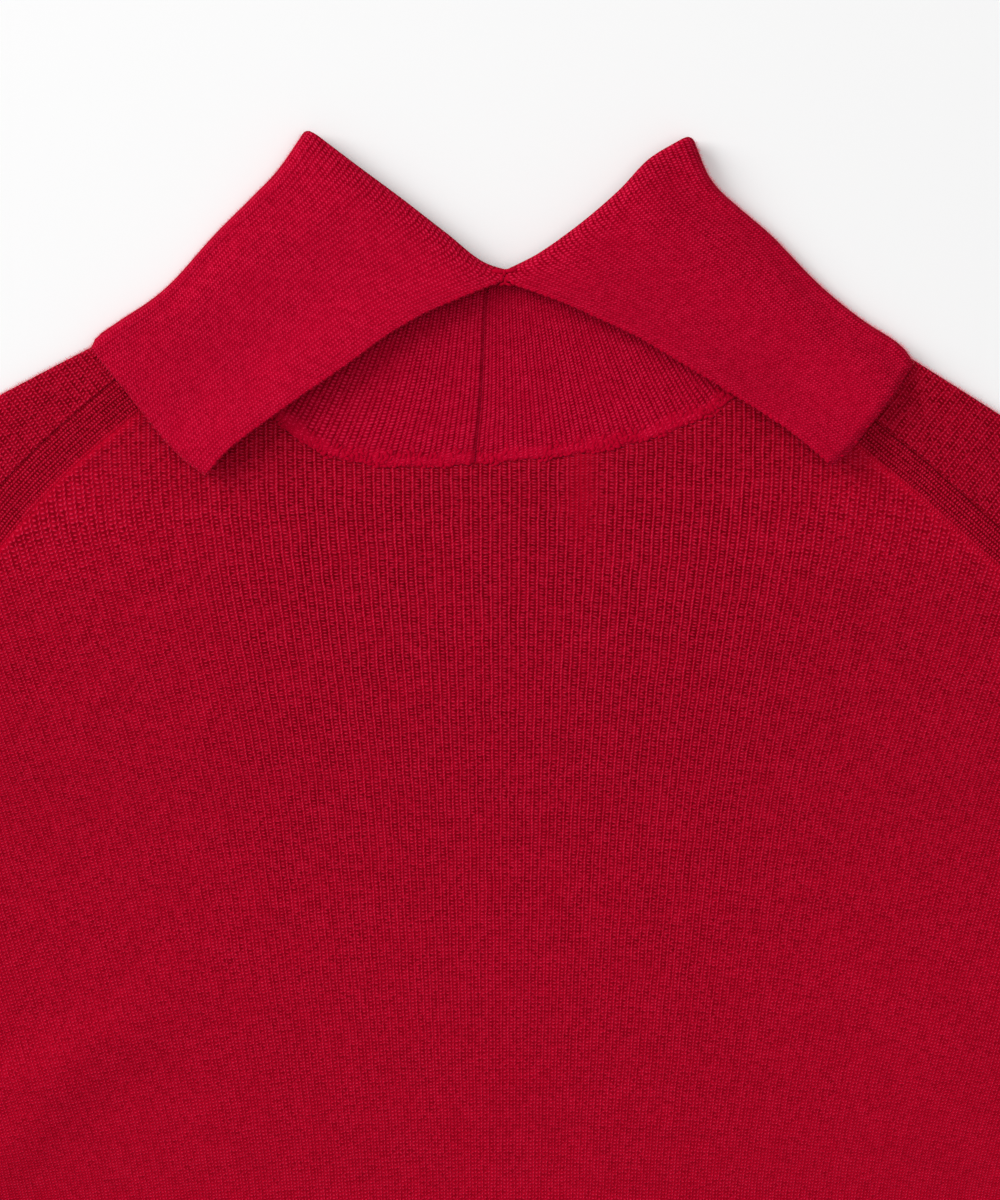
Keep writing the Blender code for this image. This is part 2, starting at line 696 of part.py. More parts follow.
def front_stretch():
    foot = offset_line(front_neck(), 1)
    foot[0], foot[-1] = stand_foot_corner("left"), stand_foot_corner("right")
    across = run_of(foot) / run_of(foot)[-1]
    fold = dipping_line(tip("left"), tip("right"), FRONT_FOLD_DIP, FRONT_FOLD_POWER, across)
    sides = [stand_side("left", foot[0], fold[0]), stand_side("right", foot[-1], fold[-1])]
    stand = patch(foot, fold, *sides, across, STAND_ROWS)
    ends = [np.array(FREE_EDGE[side][-1]) * MM for side in ("left", "right")]
    free = dipping_line(*ends, FRONT_FREE_DIP, FRONT_FREE_POWER, across)
    edges = [through(SILHOUETTE[side], LEAF_ROWS) for side in ("left", "right")]
    leaf = patch(fold, free, *edges, across, LEAF_ROWS)
    return collar_section(stand, leaf, across, back=False)


def surface_normals(grid):
    normal = np.cross(np.gradient(grid, axis=1), np.gradient(grid, axis=0))
    return normal / np.linalg.norm(normal, axis=2)[..., None]


def build_collar():
    left, right = back_stretch("left"), back_stretch("right")
    front = front_stretch()
    left_side = side_columns("left", left[:, -1], front[:, 0])
    right_side = side_columns("right", right[:, -1], front[:, -1])
    middle = np.concatenate([left, left_side, front, right_side[:, ::-1], right[:, ::-1]], axis=1)
    half = surface_normals(middle) * WALL / 2
    outer, inner = middle - half, middle + half
    if outer[0, 0, 2] < inner[0, 0, 2]:
        outer, inner = inner, outer
    for grid in (outer, inner):
        grid[:, 0, 0] = np.minimum(grid[:, 0, 0], -STAND_SEAM_HALF_GAP)
        fold_rows = slice(len(STAND_ROWS) - 1, len(STAND_ROWS) + len(FOLD_ANGLES) + 2)
        grid[fold_rows, -1, 0] = np.maximum(grid[fold_rows, -1, 0], STAND_SEAM_HALF_GAP)
    widths = np.linalg.norm(np.diff(middle[0], axis=0), axis=1)
    last_row = len(STAND_ROWS) - 2
    first_front = left.shape[1] + left_side.shape[1]
    last_front = first_front + front.shape[1] - 2

    def stand_ribs(row, column):
        """Ribs stand up on the back; on the front they are grooves, clear of the leaf below."""
        count = round(widths[column] / STAND_RIB_PITCH)
        if row > last_row or count < 2 or column in (first_front, last_front):
            return None
        rise = -RIB_RISE if first_front < column < last_front else RIB_RISE
        return count, rise, rise if row < last_row else 0.0

    cloth = Cloth(rise_side=rib_side(outer))
    cloth.add_quads(cloth.add_grid(outer, inner), stand_ribs)
    return cloth


def rib_side(outer):
    """1 where the quads' own way round faces up on the back stand, or else -1."""
    a, b, d = outer[0, 0], outer[0, 1], outer[1, 0]
    return 1.0 if np.cross(b - a, d - a)[2] > 0 else -1.0


def main():
    for thing in list(bpy.data.objects):
        bpy.data.objects.remove(thing, do_unlink=True)
    pieces = {
        "front": build_front(),
        "back": build_back(),
        "sleeve_left": build_sleeve("left"),
        "sleeve_right": build_sleeve("right"),
        "collar": build_collar(),
    }
    built = {name: (cloth.faces(), np.array(cloth.points)) for name, cloth in pieces.items()}
    everything = np.concatenate([points for _, points in built.values()])
    low, high = everything.min(axis=0), everything.max(axis=0)
    origin = np.array([(low[0] + high[0]) / 2, (low[1] + high[1]) / 2, low[2]])
    for name, (faces, points) in built.items():
        make_object(name, points - origin, faces)


main()
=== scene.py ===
"""A red fine-gauge turtleneck pullover laid flat, back side up, with its split collar folded over.

Sizes are in metres. Garment levels are measured from the high shoulder point at the centre line,
and CENTRE carries them to the part's frame, whose origin lies below the middle of the garment.
"""
from math import copysign, cos, pi, radians, sin, sqrt

import bpy
import numpy as np
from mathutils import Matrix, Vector


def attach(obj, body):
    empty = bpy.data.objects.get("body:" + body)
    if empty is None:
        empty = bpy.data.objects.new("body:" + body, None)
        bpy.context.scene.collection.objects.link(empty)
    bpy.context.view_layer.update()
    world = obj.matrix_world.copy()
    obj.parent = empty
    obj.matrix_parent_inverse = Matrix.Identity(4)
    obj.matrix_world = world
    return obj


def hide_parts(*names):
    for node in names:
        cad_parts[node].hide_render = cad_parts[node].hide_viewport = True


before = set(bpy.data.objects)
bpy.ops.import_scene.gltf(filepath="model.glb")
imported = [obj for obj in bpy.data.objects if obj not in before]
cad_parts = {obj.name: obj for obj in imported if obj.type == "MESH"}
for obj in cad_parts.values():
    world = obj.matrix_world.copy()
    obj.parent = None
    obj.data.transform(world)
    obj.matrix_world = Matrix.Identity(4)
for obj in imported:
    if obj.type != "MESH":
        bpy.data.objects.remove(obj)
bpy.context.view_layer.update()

scene = bpy.context.scene

MM = 0.001
SIDES = ("left", "right")
CENTRE = np.array([0.0, 275.83 * MM, 0.0])
SHELL = 1.3 * MM  # thickness of the cloth as it is drawn
HALF = SHELL / 2
TO_FACE = np.array([0, 0, HALF])  # from the middle of a level layer to its upper face
LAYER = 1.8 * MM

# Body, as in the part's source
BODY_LENGTH = 600 * MM
HALF_NECK = 88 * MM
HALF_SHOULDER = 190 * MM
SHOULDER_SLOPE = {"left": 0.515, "right": 0.625}
BODY_SIDE = (
    (-600, 215), (-540, 219), (-420, 227), (-300, 230), (-236, 230), (-215, 209), (-190, 194),
    (-150, 182), (-110, 178), (-80, 182), (-64, 190), (-50, 190),
)
UNDERARM_LEVEL = -236 * MM
NECK_DROP_BACK = 61 * MM
NECK_DROP_FRONT = 84 * MM
NECK_POWER_BACK = 3  # roundness of each neckline's U; 2 is an ellipse
NECK_POWER_FRONT = 2.4
NECK_TILT = 0.085
NECK_TILT_FADE = 6
NECK_SAMPLES = 2001
NECK_SIDE_LEVEL = {"left": -9, "right": -17}
# The back shoulder seam, from the neckline to the armhole (mm)
BACK_SEAM = {
    "left": (
        (-87.9, -9), (-112, -22.5), (-126, -31.8), (-139.6, -42.9), (-150.5, -52.5), (-166.7, -68.6),
        (-181.2, -86),
    ),
    "right": (
        (87.6, -17), (110, -36), (127.7, -51.5), (140.6, -61.7), (151.1, -71), (163.3, -81.8),
        (180, -96),
    ),
}
SEAM_DIP = 0.15 * MM
SEAM_DIP_WIDTH = 1.5 * MM
SEAM_SHADE_WIDTH = 1.2 * MM
SEAM_SHADE = 0.04
# Fashioned wales below the seam, as far as a low ridge
SEAM_BAND = {"left": 13.5 * MM, "right": 11.6 * MM}
BAND_WALE = 2.5 * MM
BAND_COURSE = 2.1 * MM
RIDGE_RISE = 0.7 * MM
RIDGE_WIDTH = 1.1 * MM
# Painted highlight on the ridge's top
RIDGE_PAINTED_HIGHLIGHT = 0.16
RIDGE_FLATTENS = 0.6
BAND_SHARE = 0.9
BAND_OPENNESS = 0.3
BAND_RIBBING = 0.7
# The strip of the front that lies over each shoulder
STRIP_LEAN = radians(38)  # its wales lean a little more than square to the shoulder edge
STRIP_WALE = 2.74 * MM
STRIP_COURSE = 2.4 * MM
STRIP_RELIEF = 1.25
STRIP_LOOK = (0.96, 0.5, 0.0)
# Painted shade darkens the strip's last row, at its seam with the back
STRIP_EDGE_PAINTED_SHADE = 0.94
STRIP_ROWS = 24
TURN_BLEND = 8  # columns over which the turn at the edge changes its way, at either end
CORD_RISE = 0.22 * MM
CORD_PLACE = 0.95
CORD_WIDTH = 0.09
REFINE = 6  # fine columns for each coarse one of the part's grid
SHOULDER_COLUMNS = 6 * REFINE + 1
NECK_COLUMNS = 14 * REFINE + 1
PANEL_ROWS = 190
EDGE_POWER = 9  # keeps what fits a row of points to the panel's edge near that edge

# Knit of the body at each level (mm): wales across, courses along, and how open a stitch's V is
KNIT_TABLE = (
    # level, wale pitch, course pitch, openness, relief
    (-400, 1.95, 2.35, 0.2, 0.9),
    (-305, 2.08, 2.35, 0.25, 0.9),
    (-272, 2.2, 2.3, 0.35, 0.95),
    (-173, 2.62, 2.15, 0.6, 1.05),
    (-77, 3.23, 1.98, 0.72, 1.15),
)
KNIT_SPAN = (-640.0, 61.0)
BLUR_REACH = 60
BLUR_WIDTH = 22
COURSE_ARCH = 0.35
# The stitches close towards the sides, to half as open (mm from the middle)
CLOSING_START = 60
CLOSING_WIDTH = 70
# A few wales under the middle of the collar lie closer and smoother
SMOOTHER_MIDDLE = 26 * MM
SMOOTHER_WIDTH = 4.5 * MM
SMOOTHER_END = -100 * MM
SMOOTHER_FADE = 30 * MM
SMOOTHER_KNIT = {"tone": 0.08, "openness": 0.6, "relief": 0.35}  # what it takes away

# Sleeves
SLEEVE_SAMPLES = 400
SLEEVE_WALE = 2.35 * MM
SLEEVE_COURSE = 2.2 * MM
SLEEVE_LENGTH = 570 * MM
CUFF_WIDTH = 85 * MM
SLEEVE_ANGLES = (28, 60)
UNDERARM_ANGLE = 47
SLEEVE_ROWS = 150
SLEEVE_COLUMNS = 36
ARMHOLE_SHAPE_REACH = 0.3
ARMHOLE_SAMPLES = 300
TOP_TURN_REACH = 0.05
SLEEVE_CREASE_START = 0.125
LOWER_CREASE_SHARE = 0.3
SLEEVE_LOOK = (1, 0.6, 0)

# Hem and cuffs
RIB_DEPTH = 55 * MM
RIB_END = 4 * MM
RIB_RISE = 0.35 * MM
HEM_RIB_PITCH = 5 * MM
CUFF_RIBS = 17

# Collar
FOLD_BACK = {
    "left": ((-0.2, 0.4), (-6.4, 2.2), (-21, 12.9), (-34.5, 23.4), (-50.2, 35.1), (-63.2, 45)),
    "right": ((0.2, 0.4), (10.1, 5.2), (20.3, 11.9), (39, 27.2), (48.7, 37.2), (58.6, 43.2)),
}
SILHOUETTE = {
    "left": ((-63.2, 45), (-70.4, 34.8), (-95.2, 10.7), (-112.2, -7.8), (-135.9, -25)),
    "right": (
        (58.6, 43.2), (63.5, 32), (87.8, 9.8), (105.4, -7.8), (119.6, -19.7), (128, -25.3), (133.6, -31),
    ),
}
FREE_EDGE = {
    "left": ((-98.7, -66.1), (-106, -60.5), (-112.1, -54.5), (-120.9, -43.4), (-135.9, -25)),
    "right": ((107.6, -62.9), (113.8, -57.5), (120.2, -49.6), (127.8, -39.6), (133.6, -31)),
}
SLIT = {
    "left": (
        (-0.2, 0.4), (-0.3, -0.9), (-1.6, -2), (-6, -3.9), (-15.2, -7.7), (-26.7, -12.7), (-40.3, -20.8),
        (-50.8, -28.6), (-65.7, -38.8), (-76.2, -46.2), (-94, -60.4), (-98.7, -66.1),
    ),
    "right": (
        (0.2, 0.4), (0.3, -0.9), (1.6, -2.1), (8.9, -5.2), (19.5, -9.2), (30, -13.9), (42.6, -19.8),
        (55.1, -27.1), (78.2, -41.2), (93.1, -50.9), (107.6, -62.9),
    ),
}
# The centre-back seam of the stand: its foot on the neck, then up to the fold
SEAM_FOOT = -10 * MM
STAND_FOOT_STEP = 0.5 * MM
STAND_SEAM = ((-8, -43), (-7, -23), (-6.5, -8.5), (-6, -3.8), (-4, -1), (0, 0.4))
STAND_SIDE_BOW = {"left": 3 * MM, "right": 6 * MM}
# The front's fold and free edge hang to a level in the middle; a higher power keeps flatter there
FRONT_FOLD_DIP = -12 * MM
FRONT_FOLD_POWER = 1.5
FRONT_FREE_DIP = -122 * MM
FRONT_FREE_POWER = 2.2
FOLD_RADIUS = 1.4 * MM
WALES = {"left": 32, "right": 39}
LEAF_WALES = {"left": 22, "right": 23}
SIDE_WALES = 4
FRONT_WALES = 64
PER_WALE = 5
FRONT_COLUMNS = 121
COLLAR_COURSE = 2.15 * MM
RUN_COLUMN = 20  # a column near the slit whose length along the cloth counts towards its courses
RIB_GROOVE = 0.16 * MM
SEAM_GAP_DEPTH = 0.35 * MM
SEAM_GAP_WIDTH = 0.01
# The linking band at the stand's foot
BAND_TOP = 4.6
BAND_TOP_WAVES = ((0.8, 0.83, 0), (0.6, 2.3, 1))
BAND_MIDDLE = 0.55  # shares of its top's height
BAND_FADE = 0.6
GROOVE_PLACE = 1.2
GROOVE_WIDTH = 0.55 * MM
GROOVE_DEPTH = 0.14 * MM
BAND_RISE = 0.3
BAND_RISE_WAVE = (0.12, 0.47, 0)
LUMP_RISE = 0.2
LUMP_WAVE = (0.5, 5.1, 0)
LUMP_LENGTH = 0.42 * MM
SWELL_WAVE = (0.3, 0.9, 2)
# How strongly the ribs show on the leaf, apart from near its fold and its sides
LEAF_RIBBING = (0.35, 0.5)
LEAF_RIBBING_GAIN = 0.4
STAND_FADE = 6
FOLD_REACH = 0.2
SIDE_START = 0.55
SIDE_REACH = 0.3
COLLAR_TONE = 1.07
STAND_OPENNESS = 0.3
LEAF_OPENNESS = 0.05
STAND_RELIEF = 0.85
LEAF_RELIEF = 0.78
TURN_STEPS = 6
STAND_T = np.concatenate([[0, 0.008, 0.018, 0.03, 0.045, 0.06, 0.08, 0.1], np.linspace(0.13, 1, 22)])
FOLD_ANGLES = np.radians([22, 45, 68, 90, 112, 135, 158])
LEAF_T = np.linspace(0, 1, 49) ** 1.35
TURN = np.radians(np.linspace(-90, 90, TURN_STEPS + 1))

FLOOR_LAYER = HALF
TUBE_MIDDLE = FLOOR_LAYER + LAYER / 2
BACK_LOFT = 0.6 * MM
STAND_LOFT = 0.6 * MM
# The back leaf's heights, with the shares of its width and of its depth from the fold they go over
LAYERS_UNDER_LEAF = 3
LEAF_CLEARANCE = 0.85 * MM
SETTLE_DEPTH = 0.25
SIDE_WIDTH = 0.3
ROLL_RISE = 2.0 * MM
ROLL_DEPTH = 0.16
CROWN_RISE = 1.3 * MM
CROWN_START = 0.1
SLIT_RISE = 3.6 * MM
SLIT_WIDTH = 0.45
SLIT_ARCH = 0.82
SLIT_POWER = 0.8
FREE_RISE = {"left": 1.6 * MM, "right": 3.0 * MM}
FREE_DEPTH = 0.3
FREE_WIDTH = 0.25
OVERHANG_DROP = 2 * MM
OVERHANG_WIDTH = 0.14
OVERHANG_START = 0.25
OVERHANG_DEPTH = 0.6
LEAF_SINK = 1.8 * MM
SINK_DEPTH = 0.5
CORNER_DEPTH = 0.06
CORNER_TUCK = 0.9
OVAL_X = 143 * MM
OVAL_Y = 136 * MM
OVAL_MIDDLE = 8 * MM
LIFT_FADE = 0.5
FRONT_CREASE_SHARE = 0.4
BACK_CREASE_SHARE = 0.8
CREASE_BEND = 0.12
CREASE_SIDES = (0.7, 1.3)  # a crease is steeper on one side


def smooth(x):
    x = np.clip(x, 0.0, 1.0)
    return x * x * (3 - 2 * x)


def bell(x):
    return np.exp(-(x**2))


def unit(v):
    v = np.asarray(v, float)
    return v / np.linalg.norm(v, axis=-1)[..., None]


def heading(angle):
    return np.array([cos(angle), sin(angle)])


def sign_of(side):
    return -1 if side == "left" else 1


def run_of(points):
    return np.concatenate([[0], np.cumsum(np.linalg.norm(np.diff(points, axis=0), axis=1))])


def through(rows, fractions):
    """Points at the given fractions of a smooth curve through the rows of a table in mm."""
    p = np.array(rows, float) * MM
    run = run_of(p)
    run /= run[-1]
    slopes = np.gradient(p, run, axis=0)
    t = np.clip(np.asarray(fractions, float), 0, 1)
    k = np.clip(np.searchsorted(run, t) - 1, 0, len(run) - 2)
    h = (run[k + 1] - run[k])[:, None]
    s = ((t - run[k]) / (run[k + 1] - run[k]))[:, None]
    place = (2 * s**3 - 3 * s**2 + 1) * p[k] + (3 * s**2 - 2 * s**3) * p[k + 1]
    return place + ((s**3 - 2 * s**2 + s) * slopes[k] + (s**3 - s**2) * slopes[k + 1]) * h


def resample(points, count):
    run = run_of(points)
    at = np.linspace(0, run[-1], count)
    return np.stack([np.interp(at, run, points[:, k]) for k in range(points.shape[1])], axis=1)


def patch(bottom, top, left, right, across, up):
    s = np.asarray(across)[None, :, None]
    t = np.asarray(up)[:, None, None]
    ruled = (1 - t) * bottom[None] + t * top[None] + (1 - s) * left[:, None] + s * right[:, None]
    corners = (1 - s) * (1 - t) * bottom[0] + s * (1 - t) * bottom[-1]
    return ruled - corners - (1 - s) * t * top[0] - s * t * top[-1]


def link(name, data):
    thing = bpy.data.objects.new(name, data)
    scene.collection.objects.link(thing)
    return thing


def place_mesh(mesh, name, fields, material):
    """Put a mesh in the scene with its material and the vectors that its points carry."""
    for field, values in fields.items():
        layer = mesh.attributes.new(field, "FLOAT_VECTOR", "POINT")
        values = np.broadcast_to(values, (len(mesh.vertices), 3))
        layer.data.foreach_set("vector", np.ascontiguousarray(values, float).ravel())
    mesh.shade_smooth()
    mesh.materials.append(material)
    thing = link(name, mesh)
    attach(thing, "root")
    return thing


NO_BAND = (9.0, 0.0, 0.0)  # how far off a band a point is, in its widths, and the band's wale and course


class Cloth:
    """A thin shell: quads on outer and inner points, and a rim round the open edges."""

    def __init__(self, *grid):
        self.outer, self.inner, self.quads = [], [], []
        self.fields = {"knit": [], "look": [], "seam": []}
        self.count = 0
        self.first_grid = self.add_grid(*grid)
        self.add_quads(self.first_grid)

    def add_grid(self, outer, inner, knit, look=(1, 1, 0), seam=NO_BAND):
        """knit: wale, course and relief. look: tone, openness and ribbing. seam: a band's own knit."""
        rows, cols = outer.shape[:2]
        self.outer.append(outer.reshape(-1, 3))
        self.inner.append(inner.reshape(-1, 3))
        for name, values in (("knit", knit), ("look", look), ("seam", seam)):
            self.fields[name].append(np.broadcast_to(values, (rows, cols, 3)).reshape(-1, 3))
        ids = np.arange(self.count, self.count + rows * cols).reshape(rows, cols)
        self.count += rows * cols
        return ids

    def add_quads(self, ids):
        a, b, c, d = ids[:-1, :-1], ids[:-1, 1:], ids[1:, 1:], ids[1:, :-1]
        self.quads.append(np.stack([a, b, c, d], axis=-1).reshape(-1, 4))

    def make(self, name, material):
        n = self.count
        points = np.concatenate(self.outer + self.inner) + CENTRE
        outer = np.concatenate(self.quads)
        edges = np.concatenate([outer[:, [k, (k + 1) % 4]] for k in range(4)])
        keys = edges[:, 0] * n + edges[:, 1]
        open_edges = edges[~np.isin(keys, edges[:, 1] * n + edges[:, 0])]
        start, end = open_edges[:, 0], open_edges[:, 1]
        rim = np.stack([end, start, start + n, end + n], axis=1)
        faces = np.concatenate([outer, outer[:, ::-1] + n, rim])
        a, b, c, d = (points[faces[:, k]] for k in range(4))
        volume = np.einsum("ij,ij->i", a, np.cross(b, c) + np.cross(c, d)).sum()
        if volume < 0:
            faces = faces[:, ::-1]
        mesh = bpy.data.meshes.new(name)
        mesh.vertices.add(len(points))
        mesh.vertices.foreach_set("co", points.ravel())
        mesh.loops.add(faces.size)
        mesh.loops.foreach_set("vertex_index", faces.ravel())
        mesh.polygons.add(len(faces))
        mesh.polygons.foreach_set("loop_start", np.arange(0, faces.size, 4))
        mesh.update(calc_edges=True)
        mesh.validate()
        fields = {field: np.tile(np.concatenate(rows), (2, 1)) for field, rows in self.fields.items()}
        return place_mesh(mesh, name, fields, material)


# Lines that pieces share


def half_width(level):
    table = np.array(BODY_SIDE, float) * MM
    return np.interp(level, table[:, 0], table[:, 1])


def neckline(drop, power, tilt=0.0):
    """A rounded U between the high shoulder points."""
    across = np.sin(np.linspace(-1, 1, NECK_SAMPLES) * pi / 2) * HALF_NECK
    u = np.abs(across) / HALF_NECK
    level = -drop * (1 - u**power) ** (1 / power) + tilt * across * (1 - u**NECK_TILT_FADE)
    return np.stack([across, level], axis=1)


def back_neck():
    line = neckline(NECK_DROP_BACK, NECK_POWER_BACK, NECK_TILT)
    ends = np.where(line[:, 0] < 0, NECK_SIDE_LEVEL["left"], NECK_SIDE_LEVEL["right"]) * MM
    return resample(line[line[:, 1] < ends], NECK_COLUMNS)


def front_neck(count):
    return resample(neckline(NECK_DROP_FRONT, NECK_POWER_FRONT), count)


def shoulder_edge(side):
    x = np.linspace(HALF_NECK, HALF_SHOULDER, SHOULDER_COLUMNS)
    return np.stack([sign_of(side) * x, -SHOULDER_SLOPE[side] * (x - HALF_NECK)], axis=1)


def back_seam(side):
    seam = through(BACK_SEAM[side], np.linspace(0, 1, SHOULDER_COLUMNS))
    seam[0] = back_neck()[0 if side == "left" else -1]
    seam[-1, 0] = sign_of(side) * half_width(seam[-1, 1])
    return seam


def shoulder_normal(side):
    return unit([sign_of(side) * SHOULDER_SLOPE[side], 1.0])


def tip(side):
    return np.array(FOLD_BACK[side][-1]) * MM


def stand_side_normal(side):
    along = tip(side) - shoulder_edge(side)[0]
    return unit([sign_of(side) * along[1], -sign_of(side) * along[0]])


def neck_turn_normal(side):
    return unit(shoulder_normal(side) + stand_side_normal(side))


# Heights of the layers' middles, and creases


def lift_at(xy):
    q = np.hypot(xy[..., 0] / OVAL_X, (xy[..., 1] - OVAL_MIDDLE) / OVAL_Y)
    return smooth((1 + LIFT_FADE - q) / LIFT_FADE)


# Soft ridges: across and level of the middle, degrees, half length, half width, rise (mm)
BODY_CREASES = (
    (-150, -262, 28, 70, 11, 2.2), (-168, -292, 40, 55, 9, 1.4), (158, -258, -33, 78, 12, 2.6),
    (174, -300, -46, 48, 8, 1.2), (-60, -420, 82, 90, 14, 1.5), (48, -392, 96, 120, 16, 1.8),
    (120, -470, 74, 84, 12, 2.1), (-138, -498, 104, 66, 11, 1.6), (6, -520, 12, 110, 13, 1.3),
    (-176, -398, 68, 62, 10, 1.9), (182, -400, 108, 74, 10, 1.5), (-40, -250, 158, 80, 20, 0.5),
    (70, -190, 20, 70, 18, 0.4), (-96, -150, 60, 55, 16, 0.35),
)
SLEEVE_CREASES = {
    "left": (
        (-262, -158, 38, 52, 8, 2.6), (-296, -206, 12, 44, 9, 1.7), (-352, -238, 66, 60, 10, 2.9),
        (-392, -262, 20, 38, 7, 1.9), (-416, -330, 58, 70, 9, 2.3), (-470, -392, 72, 48, 8, 1.5),
        (-228, -118, 50, 60, 10, 1.6),
    ),
    "right": (
        (258, -170, -44, 56, 9, 2.3), (306, -190, -8, 40, 8, 1.5), (348, -262, -62, 66, 11, 3.0),
        (404, -250, -28, 42, 7, 1.6), (420, -350, -54, 60, 9, 2.5), (486, -410, -76, 52, 8, 1.7),
        (232, -130, -56, 50, 10, 1.4),
    ),
}


def creases(xy, table):
    rise = np.zeros(xy.shape[:-1])
    for across, level, angle, reach, width, height in table:
        dx, dy = xy[..., 0] / MM - across, xy[..., 1] / MM - level
        c, s = cos(radians(angle)), sin(radians(angle))
        along, off = dx * c + dy * s, -dx * s + dy * c
        off = off - CREASE_BEND * along**2 / reach
        fade = smooth(1 - np.abs(along) / reach)
        side = width * np.where(off > 0, *CREASE_SIDES)
        rise = rise + height * fade * bell(off / side)
    return rise * MM


def front_height(xy):
    return FLOOR_LAYER + LAYER * lift_at(xy) + FRONT_CREASE_SHARE * creases(xy, BODY_CREASES)


def back_height(xy):
    loft = LAYER + BACK_LOFT * lift_at(xy)
    return front_height(xy) + loft + BACK_CREASE_SHARE * creases(xy, BODY_CREASES)


def in_space(xy, z):
    return np.concatenate([xy, np.broadcast_to(z, xy.shape[:-1])[..., None]], axis=-1)


# Knit coordinates: wale number, course number and how strongly the stitches stand out


def knit_by_level():
    """Level (mm), wale pitch, its slope, course count, openness and relief, evened out along the body."""
    rows = np.array(KNIT_TABLE, float)
    level = np.arange(*KNIT_SPAN)
    blur = bell(np.arange(-BLUR_REACH, BLUR_REACH + 1) / BLUR_WIDTH)
    blur /= blur.sum()
    lines = [np.interp(level, rows[:, 0], rows[:, k]) for k in (1, 2, 3, 4)]
    padded = [np.pad(line, BLUR_REACH, mode="edge") for line in lines]
    pitch, course, openness, relief = (np.convolve(line, blur, mode="valid") for line in padded)
    return level, pitch, np.gradient(pitch), np.cumsum(1 / course), openness, relief


KNIT_LEVELS = knit_by_level()


def body_knit(xy):
    """The knit coordinates and look of a body panel: wales fan out upwards, courses arch across them."""
    levels, pitches, slopes, courses, openness, reliefs = KNIT_LEVELS
    level, x = xy[..., 1] / MM, xy[..., 0] / MM
    pitch, slope = np.interp(level, levels, pitches), np.interp(level, levels, slopes)
    arched = level + COURSE_ARCH * x**2 * slope / pitch
    ones = np.ones(x.shape)
    relief = np.interp(level, levels, reliefs)
    knit = np.stack([x / pitch + 0.5, np.interp(arched, levels, courses), relief], axis=-1)
    closed = 0.5 * smooth((np.abs(x) - CLOSING_START) / CLOSING_WIDTH)
    opened = np.interp(level, levels, openness) * (1 - closed)
    return knit, np.stack([ones, opened, 0 * ones], axis=-1)


def rib_profile(phase):
    """1 on a rib, 0 in the groove between two."""
    return 0.5 - 0.5 * np.cos(2 * pi * phase)


# Body panels


def panel_grid(top):
    """Rows of points from the hem up to the panel's top edge."""
    t = np.linspace(0, 1, PANEL_ROWS)[:, None]
    a = np.linspace(-1, 1, len(top))[None, :]
    level = -BODY_LENGTH + (top[None, :, 1] + BODY_LENGTH) * t
    under = (UNDERARM_LEVEL + BODY_LENGTH) / (top[0, 1] + BODY_LENGTH)
    blend = smooth((t - under) / (1 - under))
    x = (1 - blend) * a * half_width(level) + blend * top[None, :, 0]
    for edge, side in ((0, -1), (-1, 1)):
        miss = side * half_width(level[:, edge]) - x[:, edge]
        x += miss[:, None] * np.clip(a * side, 0, 1) ** EDGE_POWER
    x[-1] = top[:, 0]
    return np.stack([x, level], axis=-1)


def distance_to(xy, line):
    """Distance from a line of points, and how far along it the nearest place is."""
    run = run_of(line)
    best = np.full(xy.shape[:-1], 1e9)
    place = np.zeros(xy.shape[:-1])
    for k in range(len(line) - 1):
        step = line[k + 1] - line[k]
        t = np.clip(((xy - line[k]) @ step) / (step @ step), 0, 1)
        d = np.linalg.norm(xy - line[k] - t[..., None] * step, axis=-1)
        closer = d < best
        best = np.where(closer, d, best)
        place = np.where(closer, run[k] + t * np.linalg.norm(step), place)
    return best, place


def hem_rise(level_up, phase):
    """Ribs of a hem or cuff, over its depth."""
    inside = smooth((RIB_DEPTH - level_up) / RIB_END)
    return RIB_RISE * (rib_profile(phase) - 0.5) * inside


def build_back():
    seams = {side: back_seam(side) for side in SIDES}
    top = np.concatenate([seams["left"][::-1], back_neck()[1:-1], seams["right"]])
    xy = panel_grid(top)
    x, level = xy[..., 0], xy[..., 1]
    knit, look = body_knit(xy)
    z = back_height(xy)
    seam = np.broadcast_to(NO_BAND, knit.shape)
    for side, line in seams.items():
        off, along = distance_to(xy, line)
        width = SEAM_BAND[side]
        band = np.stack([off / width, off / BAND_WALE, along / BAND_COURSE], axis=-1)
        near = (x * sign_of(side) > 0) & (off < 2 * width)
        seam = np.where(near[..., None], band, seam)
        ridge = bell((off - width) / RIDGE_WIDTH)
        z += RIDGE_RISE * ridge
        z -= SEAM_DIP * smooth(1 - off / SEAM_DIP_WIDTH)
        # Painted highlight on the ridge's top, painted shade along the seam line
        look[..., 0] += RIDGE_PAINTED_HIGHLIGHT * ridge - SEAM_SHADE * bell(off / SEAM_SHADE_WIDTH)
        knit[..., 2] -= RIDGE_FLATTENS * ridge
        look[near & (off < BAND_SHARE * width), 1:] = BAND_OPENNESS, BAND_RIBBING
    smoother = bell((x - SMOOTHER_MIDDLE) / SMOOTHER_WIDTH)
    smoother *= smooth((level - SMOOTHER_END) / SMOOTHER_FADE)
    knit[..., 2] -= SMOOTHER_KNIT["relief"] * smoother
    look[..., 1] -= SMOOTHER_KNIT["openness"] * smoother
    look[..., 0] -= SMOOTHER_KNIT["tone"] * smoother
    z += hem_rise(level + BODY_LENGTH, x / HEM_RIB_PITCH)
    middle = in_space(xy, z)
    return Cloth(middle + TO_FACE, middle - TO_FACE, knit, look, seam)


def build_front():
    edges = {side: shoulder_edge(side) for side in SIDES}
    top = np.concatenate([edges["left"][::-1], front_neck(NECK_COLUMNS)[1:-1], edges["right"]])
    xy = panel_grid(top)
    middle = in_space(xy, front_height(xy))
    cloth = Cloth(middle - TO_FACE, middle + TO_FACE, *body_knit(xy))
    for side in SIDES:
        add_shoulder_strip(cloth, side)
    return cloth


